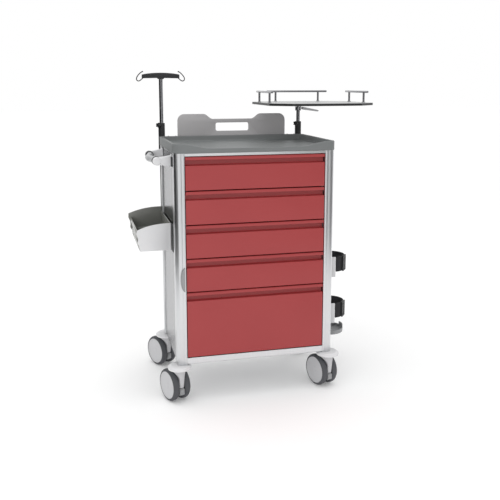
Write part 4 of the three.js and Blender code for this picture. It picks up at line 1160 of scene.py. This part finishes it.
for x, z in (outer_edge, inner_edge):
    trim_low = (x - 1.2 * MM, liner_low.y + 1 * MM, z - 0.6 * MM)
    trim_high = (x + 1.2 * MM, liner_high.y - 1 * MM, z + 0.5 * MM)
    trims.append(block(trim_low, trim_high, 0.3 * MM))
make_piece("bin_edge_painted_highlights", joined(*trims), acrylic_edge, "cabinet", "smoked_plastic")
# A black block fills the dark strip between the front cheek and the column.
mesh = block(
    (panel_face - 4.8 * MM, front_cheek_low.y - 42 * MM, bin_floor),
    (panel_face - 0.2 * MM, front_cheek_low.y - 1 * MM, bin_floor + bin_wall_height), 1.2 * MM,
)
make_piece("bin_dark_strip_block", mesh, black_nylon, "cabinet", "black_plastic")

# ---------------------------------------------------------------- gas bottle holder
# A white moulded base on the right side carries two half-round saddles. A webbing strap closes each of them,
# and the bottle stands in a grey cup with a raised ear.

# Polyester webbing: black, woven in ribs along the strap. The ribs' crests are also coloured lighter, as fine
# lines, which is a painted highlight. Real ribs are 2 mm apart; they are drawn about twice as coarse so that
# they show.
rib_pitch = 3.93 * MM
wave_length = 2 * math.pi / 20  # how far apart the wave texture's bands are at a scale of 1
webbing = new_material("black_polyester_webbing")
place_in = add_node(webbing, "ShaderNodeTexCoord")
woven_ribs = add_node(
    webbing, "ShaderNodeTexWave", {"bands_direction": "Z"},
    {
        "Vector": place_in.outputs["Object"], "Scale": wave_length / rib_pitch, "Distortion": 0.6,
        "Detail": 2,
    },
)
threads = add_node(
    webbing, "ShaderNodeTexNoise",
    inputs={"Vector": place_in.outputs["Object"], "Scale": 1 / (1 * MM), "Detail": 2},
)
web_height = add_node(
    webbing, "ShaderNodeMath", {"operation": "MULTIPLY_ADD"},
    {0: threads.outputs[0], 1: 0.4, 2: woven_ribs.outputs[0]},
)
web_relief = add_node(
    webbing, "ShaderNodeBump", inputs={"Height": web_height.outputs[0], "Strength": 0.6, "Distance": 0.4 * MM}
)
# The colour follows the ribs too, lighter on their crests: a painted highlight.
web_tone_rib_highlight = add_node(
    webbing, "ShaderNodeMix", {"data_type": "RGBA"},
    {"Factor": woven_ribs.outputs[0], 6: linear("#151517"), 7: linear("#26262a")},
)
web_skin = add_node(
    webbing, "ShaderNodeBsdfPrincipled",
    inputs={
        "Base Color": web_tone_rib_highlight.outputs[2], "Roughness": 0.75, "Normal": web_relief.outputs[0],
        "Sheen Weight": 0.15, "Sheen Roughness": 0.4,
    },
)
add_node(webbing, "ShaderNodeOutputMaterial", inputs={"Surface": web_skin.outputs[0]})

bracket_low, bracket_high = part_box("bottle_bracket")
cup_low, cup_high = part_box("bottle_cup")
bottle_x = cup_high.x - 58 * MM
bottle_y = middle.y
saddle_height = 84 * MM
saddle_mouth = 87  # degrees from straight out to where the saddle ends
saddle_pitch = 197 * MM
saddle_levels = (bracket_high.z - saddle_height, bracket_high.z - saddle_height - saddle_pitch)


def sector(inner_radius, outer_radius, start, end, steps=24):
    """A piece of a ring round the bottle, in plan."""
    outside = arc((bottle_x, bottle_y), outer_radius, start, end, steps)
    return outside + arc((bottle_x, bottle_y), inner_radius, end, start, steps)


wall = bracket_low.x
base_face = wall + 4 * MM
base_half = 34 * MM
base_low = (wall, bottle_y - base_half, bracket_low.z)
base_high = (base_face, bottle_y + base_half, bracket_high.z)
parts = [block(base_low, base_high, 1.5 * MM)]
for z in saddle_levels:
    saddle = sector(54 * MM, 59 * MM, saddle_mouth, 360 - saddle_mouth)
    parts.append(prism(PLAN, saddle, z, z + saddle_height, edge=1.5 * MM, segments=3))
    parts.append(
        block(
            (wall + 2 * MM, bottle_y - 16 * MM, z + 8 * MM),
            (bottle_x - 55 * MM, bottle_y + 16 * MM, z + saddle_height - 8 * MM), 2 * MM,
        )
    )
make_piece("bottle_base", joined(*parts), white_nylon, "cabinet", "white_plastic", "bottle_bracket")

for name in ("upper", "lower"):
    low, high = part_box(f"bottle_strap_{name}")
    strap = prism(
        PLAN, sector(55.2 * MM, 59.2 * MM, -saddle_mouth + 1, saddle_mouth - 1, 32), low.z, high.z,
        edge=1 * MM, segments=2,
    )
    make_piece(
        f"bottle_strap_{name}_webbing", strap, webbing, "cabinet", "strap_webbing", f"bottle_strap_{name}"
    )
    mid = (low.z + high.z) / 2
    buckle_outlines = [rounded(19 * MM, 33 * MM, 4 * MM), rounded(11 * MM, 26 * MM, 2 * MM)]
    buckle = cut_sheet(SIDEWAYS, buckle_outlines, -2 * MM, 2 * MM, 1 * MM)
    turn = Matrix.Rotation(math.radians(-38), 4, "Z")
    spot = Vector((bottle_x, bottle_y, mid)) + turn @ Vector((60.5 * MM, 0, 0))
    buckle.transform(Matrix.Translation(spot) @ turn)
    make_piece(f"bottle_strap_{name}_buckle", buckle, black_nylon, "cabinet", "black_plastic")

# The cup's section, in millimetres from the bottle's axis and from the cup's foot.
cup = [(0, 0), (54, 0), (57, 1.5), (58, 5), (58, 17), (57, 18), (55, 18), (54, 17), (54, 7), (52, 5), (0, 5)]
parts = [
    turned(
        [(r * MM, h * MM) for r, h in cup], 64, Matrix.Translation((bottle_x, bottle_y, cup_low.z)), sharp=40
    ),
    prism(PLAN, sector(54.5 * MM, 57.6 * MM, -20, 20, 12), cup_low.z + 4 * MM, cup_high.z, edge=1 * MM),
    block(
        (cup_low.x, bottle_y - 20 * MM, cup_low.z + 1 * MM),
        (bottle_x - 56 * MM, bottle_y + 20 * MM, cup_low.z + 14 * MM), 1.5 * MM,
    ),
]
make_piece("bottle_cup_dish", joined(*parts), grey_nylon, "cabinet", "grey_plastic", "bottle_cup")
heads = []
for z in (bracket_low.z + 24 * MM, (bracket_low.z + bracket_high.z) / 2, bracket_high.z - 12 * MM):
    for side in (-1, 1):
        heads.append(screw_head((base_face, bottle_y + side * 25 * MM, z), (1, 0, 0)))
make_piece("bottle_base_screws", joined(*heads), zinc, "cabinet", "steel_sheet")

# ---------------------------------------------------------------- lock lever
# A half-oval grey lever on the front left column. Swung out, it frees the drawers; swung in, its edge stands
# in front of them.
low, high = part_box("lock_lever")
lever_width = high.x - low.x
lever_half = (high.z - low.z) / 2
oval = [
    (high.x + lever_width * u, (low.z + high.z) / 2 + lever_half * v) for u, v in arc((0, 0), 1, 90, 270, 20)
]
mesh = cut_sheet(FRONTAL, [oval], low.y, high.y, 1.8 * MM)
make_piece("lock_lever_plate", mesh, grey_nylon, "lock_lever", "grey_plastic", "lock_lever")

# ---------------------------------------------------------------- room
# A white studio: a wide floor, soft light from above and from the front left, and two cards, a black one on
# the left and a grey one on the right. Only reflections show them, and they draw the columns' round corners.
floor_reach = 30
floor_corners = [(x * floor_reach, y * floor_reach, 0) for x, y in ((-1, -1), (1, -1), (1, 1), (-1, 1))]
floor_mesh = bpy.data.meshes.new("floor")
floor_mesh.from_pydata(floor_corners, [], [(0, 1, 2, 3)])
floor = bpy.data.objects.new("floor", floor_mesh)
bpy.context.scene.collection.objects.link(floor)
# Matt floor paint, lit a little from within so that the floor runs into the white behind it.
paint = new_material("pale_floor_paint")
paint_skin = add_node(
    paint, "ShaderNodeBsdfPrincipled",
    inputs={
        "Base Color": linear("#f2f2f2"), "Roughness": 0.9, "Emission Color": linear("#ffffff"),
        "Emission Strength": 0.12,
    },
)
add_node(paint, "ShaderNodeOutputMaterial", inputs={"Surface": paint_skin.outputs[0]})
floor_mesh.materials.append(paint)


def flag(name, colour, start, end, low, high, distance=2.0):
    """A matt card bent round the cart, from one bearing to another, that only reflections show."""
    bend = arc((middle.x, middle.y), distance, start, end, 10)
    count = len(bend)
    card = bpy.data.meshes.new(name)
    corners = [(x, y, z) for z in (low, high) for x, y in bend]
    card.from_pydata(corners, [], [(i, i + 1, i + 1 + count, i + count) for i in range(count - 1)])
    felt = new_material(name)
    felt_skin = add_node(
        felt, "ShaderNodeBsdfPrincipled", inputs={"Base Color": linear(colour), "Roughness": 1}
    )
    add_node(felt, "ShaderNodeOutputMaterial", inputs={"Surface": felt_skin.outputs[0]})
    card.materials.append(felt)
    holder = bpy.data.objects.new(name, card)
    bpy.context.scene.collection.objects.link(holder)
    holder.visible_camera = False
    holder.visible_diffuse = False
    holder.visible_shadow = False


flag("black_flag", "#080808", 250, 128, 0.0, 2.8)
flag("grey_flag", "#6a6a6a", 290, 345, 0.0, 2.6, 2.6)

world = bpy.data.worlds.new("studio")
bpy.context.scene.world = world
world.use_nodes = True
world.node_tree.nodes["Background"].inputs["Color"].default_value = (1, 1, 1, 1)
world.node_tree.nodes["Background"].inputs["Strength"].default_value = 1.0


def soft_light(name, spot, aim, size, power):
    lamp = bpy.data.objects.new(name, bpy.data.lights.new(name, "AREA"))
    bpy.context.scene.collection.objects.link(lamp)
    lamp.data.size = size
    lamp.data.energy = power
    lamp.location = spot
    lamp.rotation_euler = (Vector(aim) - Vector(spot)).to_track_quat("-Z", "Y").to_euler()


soft_light("overhead", (-0.6, -0.4, 3.6), (0, 0, 0.4), 2.4, 18)
soft_light("front_left", (-2.6, -3.2, 2.4), (0, 0, 0.6), 1.8, 12)
